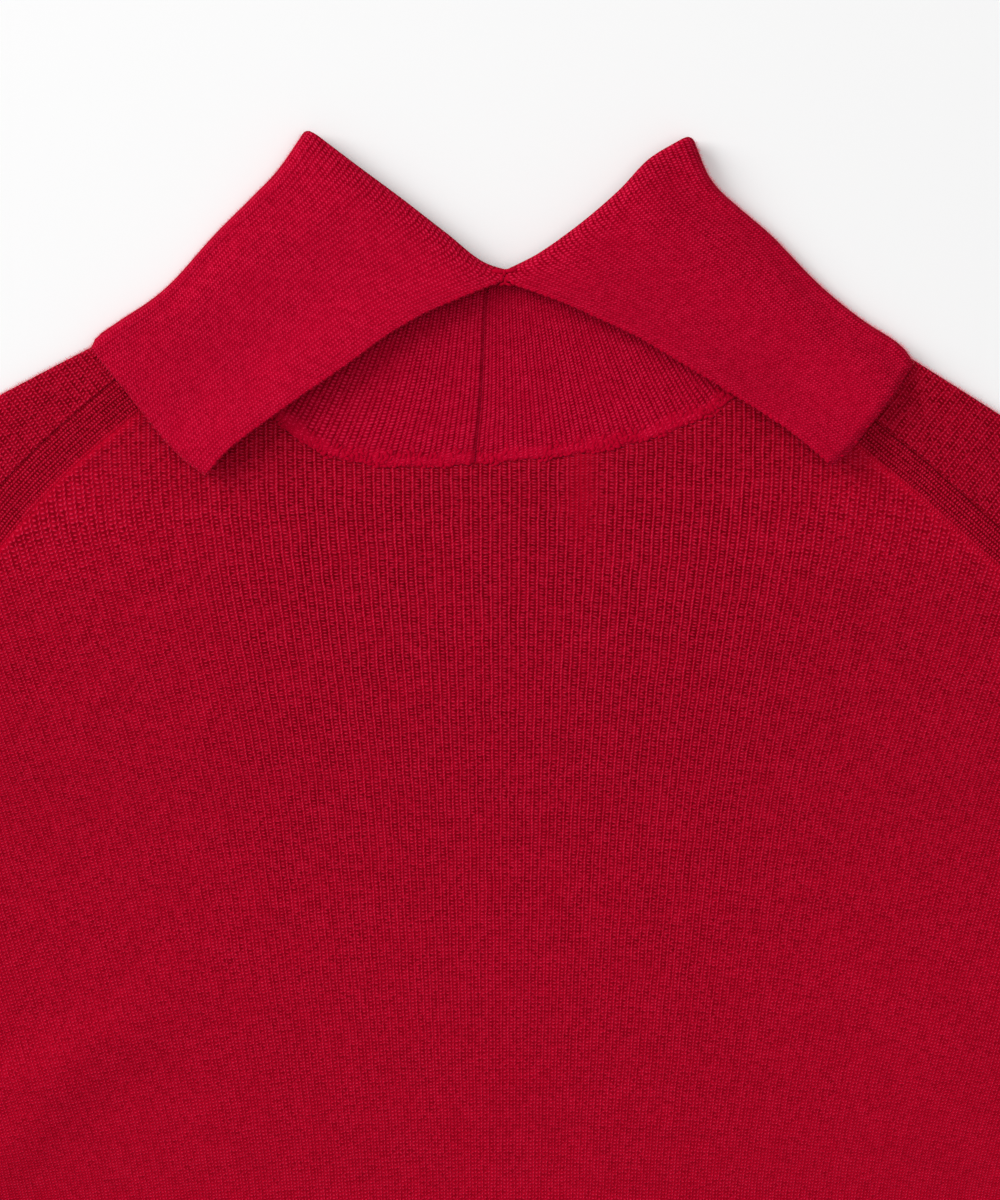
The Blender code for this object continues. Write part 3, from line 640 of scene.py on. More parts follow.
def add_shoulder_strip(cloth, side):
    """The part of the front that turns over the shoulder edge and lies on the back."""
    sign = sign_of(side)
    edge = shoulder_edge(side)
    near_neck = smooth(1 - np.arange(SHOULDER_COLUMNS) / TURN_BLEND)[:, None]
    near_arm = near_neck[::-1]
    outward = shoulder_normal(side) * (1 - near_neck - near_arm)
    outward = outward + neck_turn_normal(side) * near_neck + np.array([0, 1]) * near_arm
    low, high = front_height(edge), back_height(edge)
    centre, radius = (low + high) / 2, (high - low) / 2
    outer, inner = [], []
    for angle in TURN[1:]:
        for rows, reach in ((outer, HALF), (inner, -HALF)):
            xy = edge + ((radius + reach) * cos(angle))[:, None] * outward
            rows.append(in_space(xy, centre + (radius + reach) * sin(angle)))
    seam = back_seam(side)
    for f in np.linspace(0, 1, STRIP_ROWS + 1)[1:]:
        xy = edge * (1 - f) + seam * f
        xy[-1, 0] = sign * half_width(xy[-1, 1])
        cord = CORD_RISE * smooth(1 - abs(f - CORD_PLACE) / CORD_WIDTH)
        middle = in_space(xy, back_height(xy) + cord)
        outer.append(middle + TO_FACE)
        inner.append(middle - TO_FACE)
    outer, inner = np.array(outer), np.array(inner)
    way = np.array([sign * cos(STRIP_LEAN), -sin(STRIP_LEAN)])
    off = (outer[..., :2] - edge[0]) @ way
    depth = (outer[..., :2] - edge[0]) @ np.array([-way[1], way[0]]) * sign
    knit = np.stack([off / STRIP_WALE, depth / STRIP_COURSE, np.full(off.shape, STRIP_RELIEF)], axis=-1)
    look = np.tile(STRIP_LOOK, off.shape + (1,))
    # Painted shade on the last row, at the seam
    look[-1, :, 0] = STRIP_EDGE_PAINTED_SHADE
    top_row = cloth.first_grid[-1]
    columns = top_row[:SHOULDER_COLUMNS][::-1] if side == "left" else top_row[-SHOULDER_COLUMNS:]
    joined = np.vstack([columns, cloth.add_grid(outer, inner, knit, look)])
    cloth.add_quads(joined if side == "right" else joined[:, ::-1])


# Sleeves


def sleeve_edges(side, f):
    """Top and underarm lines of a sleeve at the given fractions of its length."""
    start = shoulder_edge(side)[-1] * [sign_of(side), 1]
    fine = np.linspace(0, 1, SLEEVE_SAMPLES)
    first, last = np.radians(SLEEVE_ANGLES)
    lean = first + (last - first) * np.sqrt(fine)
    steps = np.stack([np.cos(lean), -np.sin(lean)], axis=1) * SLEEVE_LENGTH / (len(fine) - 1)
    line = start + np.concatenate([[[0, 0]], np.cumsum(steps[:-1], axis=0)])
    top = np.stack([np.interp(f, fine, line[:, 0]), np.interp(f, fine, line[:, 1])], axis=1)
    foot = top[-1] + CUFF_WIDTH * heading(-last - pi / 2)
    underarm = np.array([half_width(UNDERARM_LEVEL), UNDERARM_LEVEL])
    reach = np.linalg.norm(foot - underarm) / 3
    a = underarm + reach * heading(-radians(UNDERARM_ANGLE))
    b = foot - reach * heading(-last)
    f = f[:, None]
    bottom = (1 - f) ** 3 * underarm + 3 * f * (1 - f) ** 2 * a + 3 * f**2 * (1 - f) * b + f**3 * foot
    return top * [sign_of(side), 1], bottom * [sign_of(side), 1]


def armhole_line(side):
    levels = np.linspace(shoulder_edge(side)[-1][1], UNDERARM_LEVEL, ARMHOLE_SAMPLES)
    line = np.stack([sign_of(side) * half_width(levels), levels], axis=1)
    return resample(line, SLEEVE_COLUMNS + 1)


def edge_turn(place, way, radius, angles):
    """Points round the fold at one edge of the flat tube."""
    return [(*(place + way * radius * cos(g)), TUBE_MIDDLE + radius * sin(g)) for g in angles]


def build_sleeve(side):
    """A flat tube of rings, each of which starts and ends at the seam under the arm."""
    fractions = np.linspace(0, 1, SLEEVE_ROWS)
    top, bottom = sleeve_edges(side, fractions)
    along = run_of((top + bottom) / 2)
    armhole = armhole_line(side)
    across = run_of(armhole)[:, None] / run_of(armhole)[-1]
    bow = armhole - (armhole[0] * (1 - across) + armhole[-1] * across)
    seam = TURN_STEPS // 2 - 1
    outer, inner, knit = [], [], []
    for k, fraction in enumerate(fractions):
        fade = max(0.0, 1 - fraction / ARMHOLE_SHAPE_REACH) ** 2
        line = top[k] * (1 - across) + bottom[k] * across + bow * fade
        way = unit(line[-1] - line[0])
        swing = smooth(fraction / TOP_TURN_REACH)
        top_way = unit(np.array([0, 1]) * (1 - swing) - way * swing)
        rise = creases(line, SLEEVE_CREASES[side]) * smooth(fraction / SLEEVE_CREASE_START)
        cuff = hem_rise(along[-1] - along[k], across[:, 0] * CUFF_RIBS)
        for rings, reach in ((outer, HALF), (inner, -HALF)):
            radius = LAYER / 2 + reach
            upper = in_space(line, TUBE_MIDDLE + radius + rise + cuff)
            lower = in_space(line, TUBE_MIDDLE - radius + LOWER_CREASE_SHARE * rise)
            low_turn = edge_turn(line[-1], way, radius, TURN[::-1][1:-1])
            top_turn = edge_turn(line[0], top_way, radius, TURN[1:-1])
            ring = [low_turn[seam:], lower[::-1], top_turn, upper, low_turn[:seam + 1]]
            rings.append(np.concatenate(ring))
        run = run_of(outer[-1])
        course = np.full(len(run), along[k] / SLEEVE_COURSE)
        knit.append(np.stack([run / SLEEVE_WALE, course, np.ones(len(run))], axis=1))
    return Cloth(np.array(outer), np.array(inner), np.array(knit), SLEEVE_LOOK)


# Collar


def dipping_line(left, right, dip, power, fractions):
    x = left[0] + (right[0] - left[0]) * np.asarray(fractions)
    end = np.where(x < 0, left[1], right[1])
    reach = np.where(x < 0, -left[0], right[0])
    return np.stack([x, dip + (end - dip) * (np.abs(x) / reach) ** power], axis=1)


def stand_foot_back(side, count):
    neck = back_neck()
    if side == "left":
        neck = neck[::-1]
    sign = sign_of(side)
    shoulder = shoulder_edge(side)[0]
    ahead = [p for p in neck if sign * (p[0] - SEAM_FOOT) > STAND_FOOT_STEP]
    before = neck[len(neck) - len(ahead) - 1]
    f = (SEAM_FOOT - before[0]) / (ahead[0][0] - before[0])
    line = np.array([before * (1 - f) + ahead[0] * f, *ahead, shoulder])
    return resample(line, count)


def leaf_height(fold_top, across, down, side):
    """The leaf rounds over from its fold, crowns, stands proud at the split and drops at its side."""
    rest = FLOOR_LAYER + LAYERS_UNDER_LEAF * LAYER + BACK_LOFT + LEAF_CLEARANCE
    settled = fold_top + (rest - fold_top) * smooth(down / SETTLE_DEPTH)
    inside = smooth((1 - across) / SIDE_WIDTH)
    roll = ROLL_RISE * sqrt(1 - max(0.0, 1 - down / ROLL_DEPTH) ** 2)
    crown = CROWN_RISE * sin(pi * (CROWN_START + (1 - CROWN_START) * down))
    settle = LEAF_SINK * smooth(down / SINK_DEPTH)
    slit = SLIT_RISE * smooth(1 - across / SLIT_WIDTH) * sin(pi * SLIT_ARCH * down) ** SLIT_POWER
    free = FREE_RISE[side] * smooth(1 - (1 - down) / FREE_DEPTH) * smooth((1 - across) / FREE_WIDTH)
    arch = sin(pi * np.clip((down - OVERHANG_START) / OVERHANG_DEPTH, 0, 1))
    drop = OVERHANG_DROP * smooth(1 - (1 - across) / OVERHANG_WIDTH) * arch
    return settled + (roll + crown - settle) * inside + slit + free - drop


def collar_rows(stand, leaf, across, side):
    """Mid-points of one flat stretch of the collar; side is None for the front."""
    back = side is not None
    forward = unit(stand[-1] - stand[-2]) + unit(stand[-1] - leaf[1])
    if back:
        forward[across == 0] = [0, 1]
    forward = unit(forward)
    rows = []
    for xy, t in zip(stand, STAND_T):
        height = (back_height(xy) if back else front_height(xy)) + STAND_LOFT * smooth(t)
        rows.append(in_space(xy, height))
    foot = rows[-1][:, 2]
    radius = np.full(len(foot), FOLD_RADIUS) if back else (foot - FLOOR_LAYER) / 2
    way = 1 if back else -1
    for angle in FOLD_ANGLES:
        xy = stand[-1] + forward * (radius * sin(angle))[:, None]
        rows.append(in_space(xy, foot + way * radius * (1 - cos(angle))))
    fold_top = foot + way * 2 * radius
    for xy, down in zip(leaf, LEAF_T):
        rows.append(in_space(xy, leaf_height(fold_top, across, down, side) if back else fold_top))
    return np.array(rows)


def stand_side(side, foot, top):
    t = STAND_T[:, None]
    return foot * (1 - t) + top * t - STAND_SIDE_BOW[side] * np.sin(pi * t) * stand_side_normal(side)


def side_columns(side, above, below):
    """Columns round the folded side of the collar, between its back and its front."""
    sign = sign_of(side)
    stand_normal = stand_side_normal(side)
    ways = np.gradient(through(SILHOUETTE[side], LEAF_T), axis=0)
    leaf_normals = list(unit(ways[:, ::-1] * [-sign, sign]))
    normals = [neck_turn_normal(side)] + [stand_normal] * (len(STAND_T) - 1)
    for angle in FOLD_ANGLES:
        f = angle / pi
        normals.append(unit(stand_normal * (1 - f) + leaf_normals[0] * f))
    normals += leaf_normals
    centre, half = (above + below) / 2, (above - below) / 2
    columns = []
    # The turn tucks in at the free edge, which rounds the leaf's corner
    at_corner = np.clip(1 - (1 - LEAF_T) / CORNER_DEPTH, 0, 1)
    tuck = np.ones(len(normals))
    tuck[-len(LEAF_T):] = np.sqrt(1 - CORNER_TUCK * at_corner**2)
    for angle in TURN[::-1][1:-1]:
        column = centre + half * sin(angle)
        column[:, :2] += np.array(normals) * (tuck * half[:, 2] * cos(angle))[:, None]
        columns.append(column)
    return np.array(columns).transpose(1, 0, 2)


def back_stretch(side):
    count = WALES[side] * PER_WALE + 1
    foot = stand_foot_back(side, count)
    across = np.linspace(0, 1, count)
    seam = through([foot[0] / MM, *STAND_SEAM], STAND_T)
    fold = through(FOLD_BACK[side], across)
    stand = patch(foot, fold, seam, stand_side(side, foot[-1], fold[-1]), across, STAND_T)
    edges = through(SLIT[side], LEAF_T), through(SILHOUETTE[side], LEAF_T)
    leaf = patch(fold, through(FREE_EDGE[side], across), *edges, across, LEAF_T)
    return collar_rows(stand, leaf, across, side)


def front_stretch():
    foot = front_neck(FRONT_COLUMNS)
    across = np.linspace(0, 1, FRONT_COLUMNS)
    fold = dipping_line(tip("left"), tip("right"), FRONT_FOLD_DIP, FRONT_FOLD_POWER, across)
    sides = [stand_side("left", foot[0], fold[0]), stand_side("right", foot[-1], fold[-1])]
    stand = patch(foot, fold, *sides, across, STAND_T)
    ends = [np.array(FREE_EDGE[side][-1]) * MM for side in SIDES]
    free = dipping_line(*ends, FRONT_FREE_DIP, FRONT_FREE_POWER, across)
    edges = [through(SILHOUETTE[side], LEAF_T) for side in SIDES]
    leaf = patch(fold, free, *edges, across, LEAF_T)
    return collar_rows(stand, leaf, across, None)


def surface_normals(grid):
    normal = np.cross(np.gradient(grid, axis=1), np.gradient(grid, axis=0))
    return normal / np.maximum(np.linalg.norm(normal, axis=2), 1e-12)[..., None]


def wale_numbers(wales, stretches):
    """Wale numbers go on along the strip, through its back, side and front stretches."""
    numbers, start = [], 0
    for k, count in enumerate((wales["left"], SIDE_WALES, FRONT_WALES, SIDE_WALES, wales["right"])):
        ends = k % 2  # a side stretch leaves its end columns to its neighbours
        line = np.linspace(start, start + count, stretches[k].shape[1] + 2 * ends)
        numbers.append(line[ends:len(line) - ends])
        start += count
    return np.concatenate(numbers)


def waves(wale, *table):
    """The sum of waves along the strip, each with a size, a turn for each wale and a start."""
    return sum(size * np.sin(wale * turn + start) for size, turn, start in table)


def build_collar():
    left, right, front = back_stretch("left"), back_stretch("right"), front_stretch()
    left_side = side_columns("left", left[:, -1], front[:, 0])
    right_side = side_columns("right", right[:, -1], front[:, -1])
    stretches = [left, left_side, front, right_side[:, ::-1], right[:, ::-1]]
    middle = np.concatenate(stretches, axis=1)
    rows, cols = middle.shape[:2]
    left_cols, right_cols = left.shape[1], right.shape[1]
    stand_rows = len(STAND_T)
    fold_rows = stand_rows + len(FOLD_ANGLES)
    row = np.arange(rows)[:, None]
    on_stand_rows = row < stand_rows

    # The leaf's wales are closer than the stand's; the change is inside the fold
    wale = np.where(row > stand_rows, wale_numbers(LEAF_WALES, stretches), wale_numbers(WALES, stretches))
    half_left = left_cols // 2
    run = np.mean([run_of(middle[:, c]) for c in (RUN_COLUMN, half_left, cols - half_left)], axis=0)[:, None]
    down = np.clip((row - fold_rows) / (rows - fold_rows - 1), 0, 1)
    across = np.ones(cols)
    across[:left_cols] = np.linspace(0, 1, left_cols)
    across[-right_cols:] = np.linspace(1, 0, right_cols)

    on_stand = 1 - smooth((row - stand_rows) / (fold_rows - stand_rows + STAND_FADE))
    near_fold = smooth(1 - down / FOLD_REACH)
    near_side = 0.5 * smooth((across - SIDE_START) / SIDE_REACH)
    plain = np.where(np.arange(cols) < cols // 2, *LEAF_RIBBING)
    ribbing = np.maximum(on_stand, plain + LEAF_RIBBING_GAIN * np.maximum(near_fold, near_side))

    # The linking band at the foot of the stand is thick and uneven
    top = (BAND_TOP + waves(wale, *BAND_TOP_WAVES)) * MM
    band = smooth(1 - (run - BAND_MIDDLE * top) / (BAND_FADE * top)) * on_stand_rows
    lump = waves(wale, LUMP_WAVE) * np.sin(run / LUMP_LENGTH + wale) + waves(wale, SWELL_WAVE)
    uneven = BAND_RISE + LUMP_RISE * lump + waves(wale, BAND_RISE_WAVE)
    groove = bell((run - GROOVE_PLACE * top) / GROOVE_WIDTH) * on_stand_rows
    # The stand's centre-back seam dips in, and painted shade darkens it
    stand_seam_dip_and_shade = bell(across / SEAM_GAP_WIDTH) * on_stand_rows
    rise = RIB_GROOVE * (rib_profile(wale) - 0.5) * ribbing * (1 - 0.85 * band)
    rise += smooth(run / MM) * band * uneven * MM * (across < 1)
    rise -= GROOVE_DEPTH * groove + SEAM_GAP_DEPTH * stand_seam_dip_and_shade

    normal = surface_normals(middle)
    if normal[0, 2, 2] < 0:
        normal = -normal
    outer = middle + normal * (HALF + rise)[..., None]
    inner = middle - normal * HALF
    relief = np.where(on_stand > 0.5, STAND_RELIEF, LEAF_RELIEF + 0.2 * near_fold + 0.15 * near_side)
    knit = [wale, np.broadcast_to(run / COLLAR_COURSE, wale.shape), relief * (1 - 0.3 * band)]
    # Painted shade darkens the stand's seam gap and the groove under the linking band
    tone = COLLAR_TONE + 0.02 * (1 - on_stand) + 0.06 * band - 0.3 * stand_seam_dip_and_shade - 0.1 * groove
    openness = LEAF_OPENNESS + (STAND_OPENNESS - LEAF_OPENNESS) * on_stand
    look = [tone, np.broadcast_to(openness, wale.shape), ribbing * (1 - 0.9 * band)]
    cloth = Cloth(outer, inner, np.stack(knit, axis=-1), np.stack(look, axis=-1))
    fold_top = fold_rows - (len(FOLD_ANGLES) + 1) // 2
    lines = {"foot_back": np.concatenate([middle[0, :left_cols][::-1], middle[0, ::-1][1:right_cols]])}
    for side, strip, count in (("left", middle, left_cols), ("right", middle[:, ::-1], right_cols)):
        lines["slit_" + side] = strip[fold_rows:, 0]
        lines["free_" + side] = strip[-1, :count]
        lines["fold_" + side] = strip[fold_top, :count]
        lines["side_" + side] = strip[fold_rows:, count + TURN_STEPS // 2 - 1]
    return cloth, lines


# Edge stitches and loose fibres


EDGE_STITCHES = (
    # line, pitch (mm), lean (degrees), the side that is inside, inset, half width, half height (mm)
    ("slit_left", 2.6, 18, -1, 0.3, 0.72, 0.72),
    ("slit_right", 2.3, -16, 1, 0.3, 0.72, 0.72),
    ("free_left", 2.2, 24, -1, 0.6, 0.6, 0.66),
    ("free_right", 2.1, -24, 1, 0.6, 0.6, 0.66),
)
EDGE_STITCH_HALF = 1.0 * MM
EDGE_STITCH_LIFT = 0.1 * MM
LINKING_ROWS = ((0.15, 1.6), (1.1, 1.5), (2.1, 1.6), (3.1, 1.8), (4.1, 2.4))  # height, pitch (mm)
LINKING_SIZE = (1.0 * MM, 0.6 * MM, 0.42 * MM)
LINKING_WAVES = ((0.6, 2.9, 0), (0.45, 1.27, 1))  # size and length (mm), start
LINKING_DENTS = (-9.9, 8.9, 48.5)
DENT_HALF = 1.1
SKIPPED = 0.06  # share of loops left out, for each row up
TACK_STITCHES = (
    # across, level (mm), turn (degrees), half length, half width (mm)
    (-1.3, -0.7, 62, 1.5, 0.62), (1.2, -0.8, 118, 1.5, 0.6), (0.1, -1.8, 90, 1.4, 0.66),
    (-2.4, -1.9, 28, 1.3, 0.6), (2.3, -2.0, 152, 1.2, 0.6), (-0.2, 0.9, 95, 1.2, 0.6),
    (-2.2, 1.3, 172, 2.2, 0.8), (1.9, 1.6, 12, 2.2, 0.8), (-1.0, -2.9, 20, 1.2, 0.55),
    (1.1, -3.0, 160, 1.2, 0.55),
)
TACK_LIFT = 0.5 * MM
TACK_HIGH = 0.7 * MM


def plain_mesh(name, points, faces, material, look):
    mesh = bpy.data.meshes.new(name)
    mesh.from_pydata((np.asarray(points) + CENTRE).tolist(), [], faces)
    return place_mesh(mesh, name, {"knit": (0.5, 0.3, 0.5), "look": look, "seam": NO_BAND}, material)


def stitch_lumps(spots, segments=8, rings=5):
    """One small rounded lump for each spot: centre, long way, half length, half width, half height."""
    polar = np.linspace(0, pi, rings + 1)[:, None]
    turn = np.arange(segments) * 2 * pi / segments
    lump = np.cos(polar) + 0 * turn, np.sin(polar) * np.cos(turn), np.sin(polar) * np.sin(turn)
    lump = np.stack(lump, axis=-1).reshape(-1, 3)
    points, faces = [], []
    for centre, along, *halves in spots:
        for r in range(rings):
            first = len(points) + r * segments
            for k in range(segments):
                a, b = first + k, first + (k + 1) % segments
                faces.append((a, b, b + segments, a + segments))
        points.extend(centre + lump * halves @ np.array([along, left_of(along), [0, 0, 1]]))
    return points, faces


def left_of(way):
    return np.array([-way[1], way[0], 0])


def turned(way, degrees):
    turn = radians(degrees)
    return unit([*way[:2], 0]) * cos(turn) + unit(left_of(way)) * sin(turn)


def walk(line, pitch):
    """Even places on a line, all but its ends, and the way it runs at each."""
    places = resample(line, int(run_of(line)[-1] / (pitch * MM)))
    return list(zip(places, np.gradient(places, axis=0)))[1:-1]


def edge_stitches(lines, rng):
    """The selvedge stitches that show along the collar's slit and free edges."""
    spots = []
    for name, pitch, lean, inward, inset, wide, high in EDGE_STITCHES:
        for place, way in walk(lines[name], pitch):
            long_way = turned(way, lean + rng.uniform(-9, 9))
            size = rng.uniform(0.88, 1.12)
            centre = place + inward * unit(left_of(way)) * inset * MM + [0, 0, EDGE_STITCH_LIFT]
            spots.append((centre, long_way, EDGE_STITCH_HALF * size, wide * MM * size, high * MM * size))
    return spots


def linking_stitches(lines, rng):
    """The uneven loops that link the foot of the stand to the body's neck."""
    spots = []
    for row, (up, pitch) in enumerate(LINKING_ROWS):
        for place, way in walk(lines["foot_back"], pitch):
            place = place + unit(way) * rng.uniform(-0.35, 0.35) * MM
            x = place[0] / MM
            dented = min(abs(x - dent) for dent in LINKING_DENTS) < DENT_HALF
            if dented or rng.random() < SKIPPED * row:
                continue
            wave = sum(size * sin(x / length + start) for size, length, start in LINKING_WAVES)
            rise = (up + wave + rng.uniform(-0.35, 0.35)) * MM
            long_way = turned(way, rng.uniform(-30, 30) if row == 0 else rng.uniform(35, 145))
            size = rng.uniform(0.75, 1.15)
            inward = unit(left_of(way)) * copysign(1, way[0])
            centre = place + inward * rise + TO_FACE + [0, 0, rng.uniform(-0.05, 0.25) * MM]
            spots.append((centre, long_way, *(size * half for half in LINKING_SIZE)))
    return spots


def tack_stitches(lines):
    """The few tight stitches that hold the two halves together at the top of the split."""
    height = (lines["slit_left"][1] + lines["slit_right"][1])[2] / 2 + TACK_LIFT
    return [
        (np.array([across * MM, level * MM, height]), turned((1, 0), turn), long * MM, wide * MM, TACK_HIGH)
        for across, level, turn, long, wide in TACK_STITCHES
    ]


def shoulder_outline(side):
    """The outermost line of the folded shoulder edge."""
    edge = shoulder_edge(side)
    low, high = front_height(edge), back_height(edge)
    reach = (high - low) / 2 + HALF
    return in_space(edge + shoulder_normal(side) * reach[:, None], (low + high) / 2)


COLLAR_FIBRES = (
    # line, number to a mm, the side they stand on (1 is left of the way), reach (mm), painted paleness for
    # light that comes through the fibres
    ("side_left", 36, -1, 1.9, 0.7),
    ("side_right", 46, 1, 2.3, 1.0),
    ("slit_left", 7, 1, 0.8, 0.0),
    ("slit_right", 7, -1, 0.8, 0.0),
    ("free_left", 12, -1, 1.1, 0.1),
    ("free_right", 10, 1, 1.0, 0.0),
    ("fold_left", 7, -1, 0.8, 0.5),
    ("fold_right", 7, 1, 0.8, 0.5),
)
SHOULDER_FIBRES = (("left", 18, -1, 1.5, 0.6), ("right", 18, 1, 1.5, 1.0))
FIBRE_HALF = 0.025 * MM  # half its thickness
FIBRE_BEND = 0.55  # share of its length before it bends


def fibres(lines, table, rng):
    """Fine loose fibres along the outlines named in a table."""
    points, faces, looks = [], [], []
    for name, per_mm, turn, reach, painted_backlit_paleness in table:
        fine = resample(lines[name], int(run_of(lines[name])[-1] / MM * per_mm))
        for place, way in zip(fine, np.gradient(fine, axis=0)):
            way = unit(way)
            start = place + way * rng.uniform(-0.3, 0.3) * MM + [0, 0, rng.uniform(-0.6, 0.9) * MM]
            size = reach * rng.uniform(0.25, 1.0) ** 1.6 * MM
            first = unit(left_of(way) * turn + way * rng.uniform(-1.1, 1.1) + [0, 0, rng.uniform(-0.5, 0.9)])
            bend = unit(first + way * rng.uniform(-1.0, 1.0) + [0, 0, rng.uniform(-0.6, 0.4)])
            half = unit(np.cross(first, [0, 0, 1.0])) * FIBRE_HALF
            middle = start + first * size * FIBRE_BEND
            end = middle + bend * size * (1 - FIBRE_BEND)
            n = len(points)
            points += [start - half, start + half, middle + half * 0.8, middle - half * 0.8, end]
            faces += [(n, n + 1, n + 2, n + 3), (n + 3, n + 2, n + 4)]
            # Painted paleness for light through the fibre
            looks += [(painted_backlit_paleness, painted_backlit_paleness, painted_backlit_paleness)] * 5
    return points, faces, looks


# Materials


class Nodes:
    """Short calls for a material's node tree."""

    def __init__(self, name):
        self.material = bpy.data.materials.new(name)
        self.material.use_nodes = True
        self.tree = self.material.node_tree
        self.shader = self.tree.nodes["Principled BSDF"]

    def node(self, kind, inputs=(), **settings):
        made = self.tree.nodes.new(kind)
        for key, value in settings.items():
            setattr(made, key, value)
        for key, value in dict(inputs).items():
            self.put(made.inputs[key], value)
        return made

    def put(self, socket, value):
        if isinstance(value, bpy.types.NodeSocket):
            self.tree.links.new(value, socket)
        else:
            socket.default_value = value

    def math(self, operation, *values, clamp=False):
        made = self.node("ShaderNodeMath", enumerate(values), operation=operation, use_clamp=clamp)
        return made.outputs[0]

    def times(self, a, b):
        return self.math("MULTIPLY", a, b)

    def plus(self, a, b):
        return self.math("ADD", a, b)

    def minus(self, a, b, clamp=False):
        return self.math("SUBTRACT", a, b, clamp=clamp)

    def line(self, value, slope, start):
        return self.math("MULTIPLY_ADD", value, slope, start)

    def around(self, value, amount):
        """A value from 0 to 1 turned into one from -amount / 2 to amount / 2."""
        return self.line(value, amount, -amount / 2)

    def step(self, value, low, high):
        inputs = {"Value": value, "From Min": low, "From Max": high}
        return self.node("ShaderNodeMapRange", inputs, interpolation_type="SMOOTHSTEP").outputs["Result"]

    def pick(self, factor, a, b):
        return self.node("ShaderNodeMix", {0: factor, 2: a, 3: b}, data_type="FLOAT").outputs[0]

    def blend(self, factor, a, b):
        return self.node("ShaderNodeMix", {0: factor, 6: a, 7: b}, data_type="RGBA").outputs[2]

    def parts(self, vector):
        return self.node("ShaderNodeSeparateXYZ", {0: vector}).outputs

    def field(self, name, output="Vector"):
        return self.node("ShaderNodeAttribute", attribute_name=name).outputs[output]

    def noise(self, output, scale, detail, **vector):
        inputs = {**vector, "Scale": scale, "Detail": detail}
        return self.node("ShaderNodeTexNoise", inputs).outputs[output]

    def surface(self, colour, roughness, specular, more=()):
        inputs = {"Base Color": colour, "Roughness": roughness, "Specular IOR Level": specular}
        for key, value in {**inputs, **dict(more)}.items():
            self.put(self.shader.inputs[key], value)
        return self.material


def fibre_material():
    """Light that single fibres let through is painted into their colour, which is paler than the knit."""
    n = Nodes("loose_fibre")
    # Paler pink is painted light, for light that comes through the fibres
    colour = n.blend(n.field("look", "Fac"), (0.55, 0.008, 0.04, 1), (0.95, 0.3, 0.36, 1))
    return n.surface(colour, 0.8, 0.015)


# A stitch: how much of a wale a column's half takes, and what a wide column gains where the knit is open
COLUMN_HALF = 0.25
OPEN_GAIN = 0.08
V_SWING = (1.1, 0.1)  # by the height in the V of a stitch, from a start
WIDE_POWER = 2.6
NARROW_POWER = 2.0
# Heights, each by the knit's openness, from a start
DASH_MIDDLE = (0.04, 0.6)
DASH_SWING = (0.02, 0.4)
BEAD_MIDDLE = (0.22, 0.68)
BEAD_SWING = (-0.2, 0.42)
PORE = (-0.28, 0.42)
RIBBED_PORE = -0.3
# Painted shade darkens the grooves between ribs, as far as the ribbing goes
RIB_GROOVE_EDGES = (0.2, 0.5)
RIB_GROOVE_PAINTED_SHADE = 0.1
# Unevenness: noise sizes in wales, and how much noise goes into drift, height, relief and tone
SLOW_NOISE = {"scale": 0.23, "detail": 2.0}
FINE_NOISE = {"scale": 3.1, "detail": 3.0}
WALE_DRIFT = 0.9
COURSE_DRIFT = 1.6
RANDOM_HEIGHT = 0.24
FINE_HEIGHT = 0.36
SLOW_RELIEF = (0.7, 0.65)
SLOW_TONE = 0.14
# By the stitch's height: from painted shade in the pores to the yarn's red, then to painted highlight on the
# stitch tops
PAINTED_SHADE_TO_MID = (-0.05, 0.5)
MID_TO_PAINTED_HIGHLIGHT = (0.5, 1.05)
FINE_ROUGHNESS = (0.2, 0.72)
SPECULAR = 0.015
SHEEN = {"Sheen Weight": 0.02, "Sheen Roughness": 0.5, "Sheen Tint": (1.0, 0.2, 0.3, 1.0)}


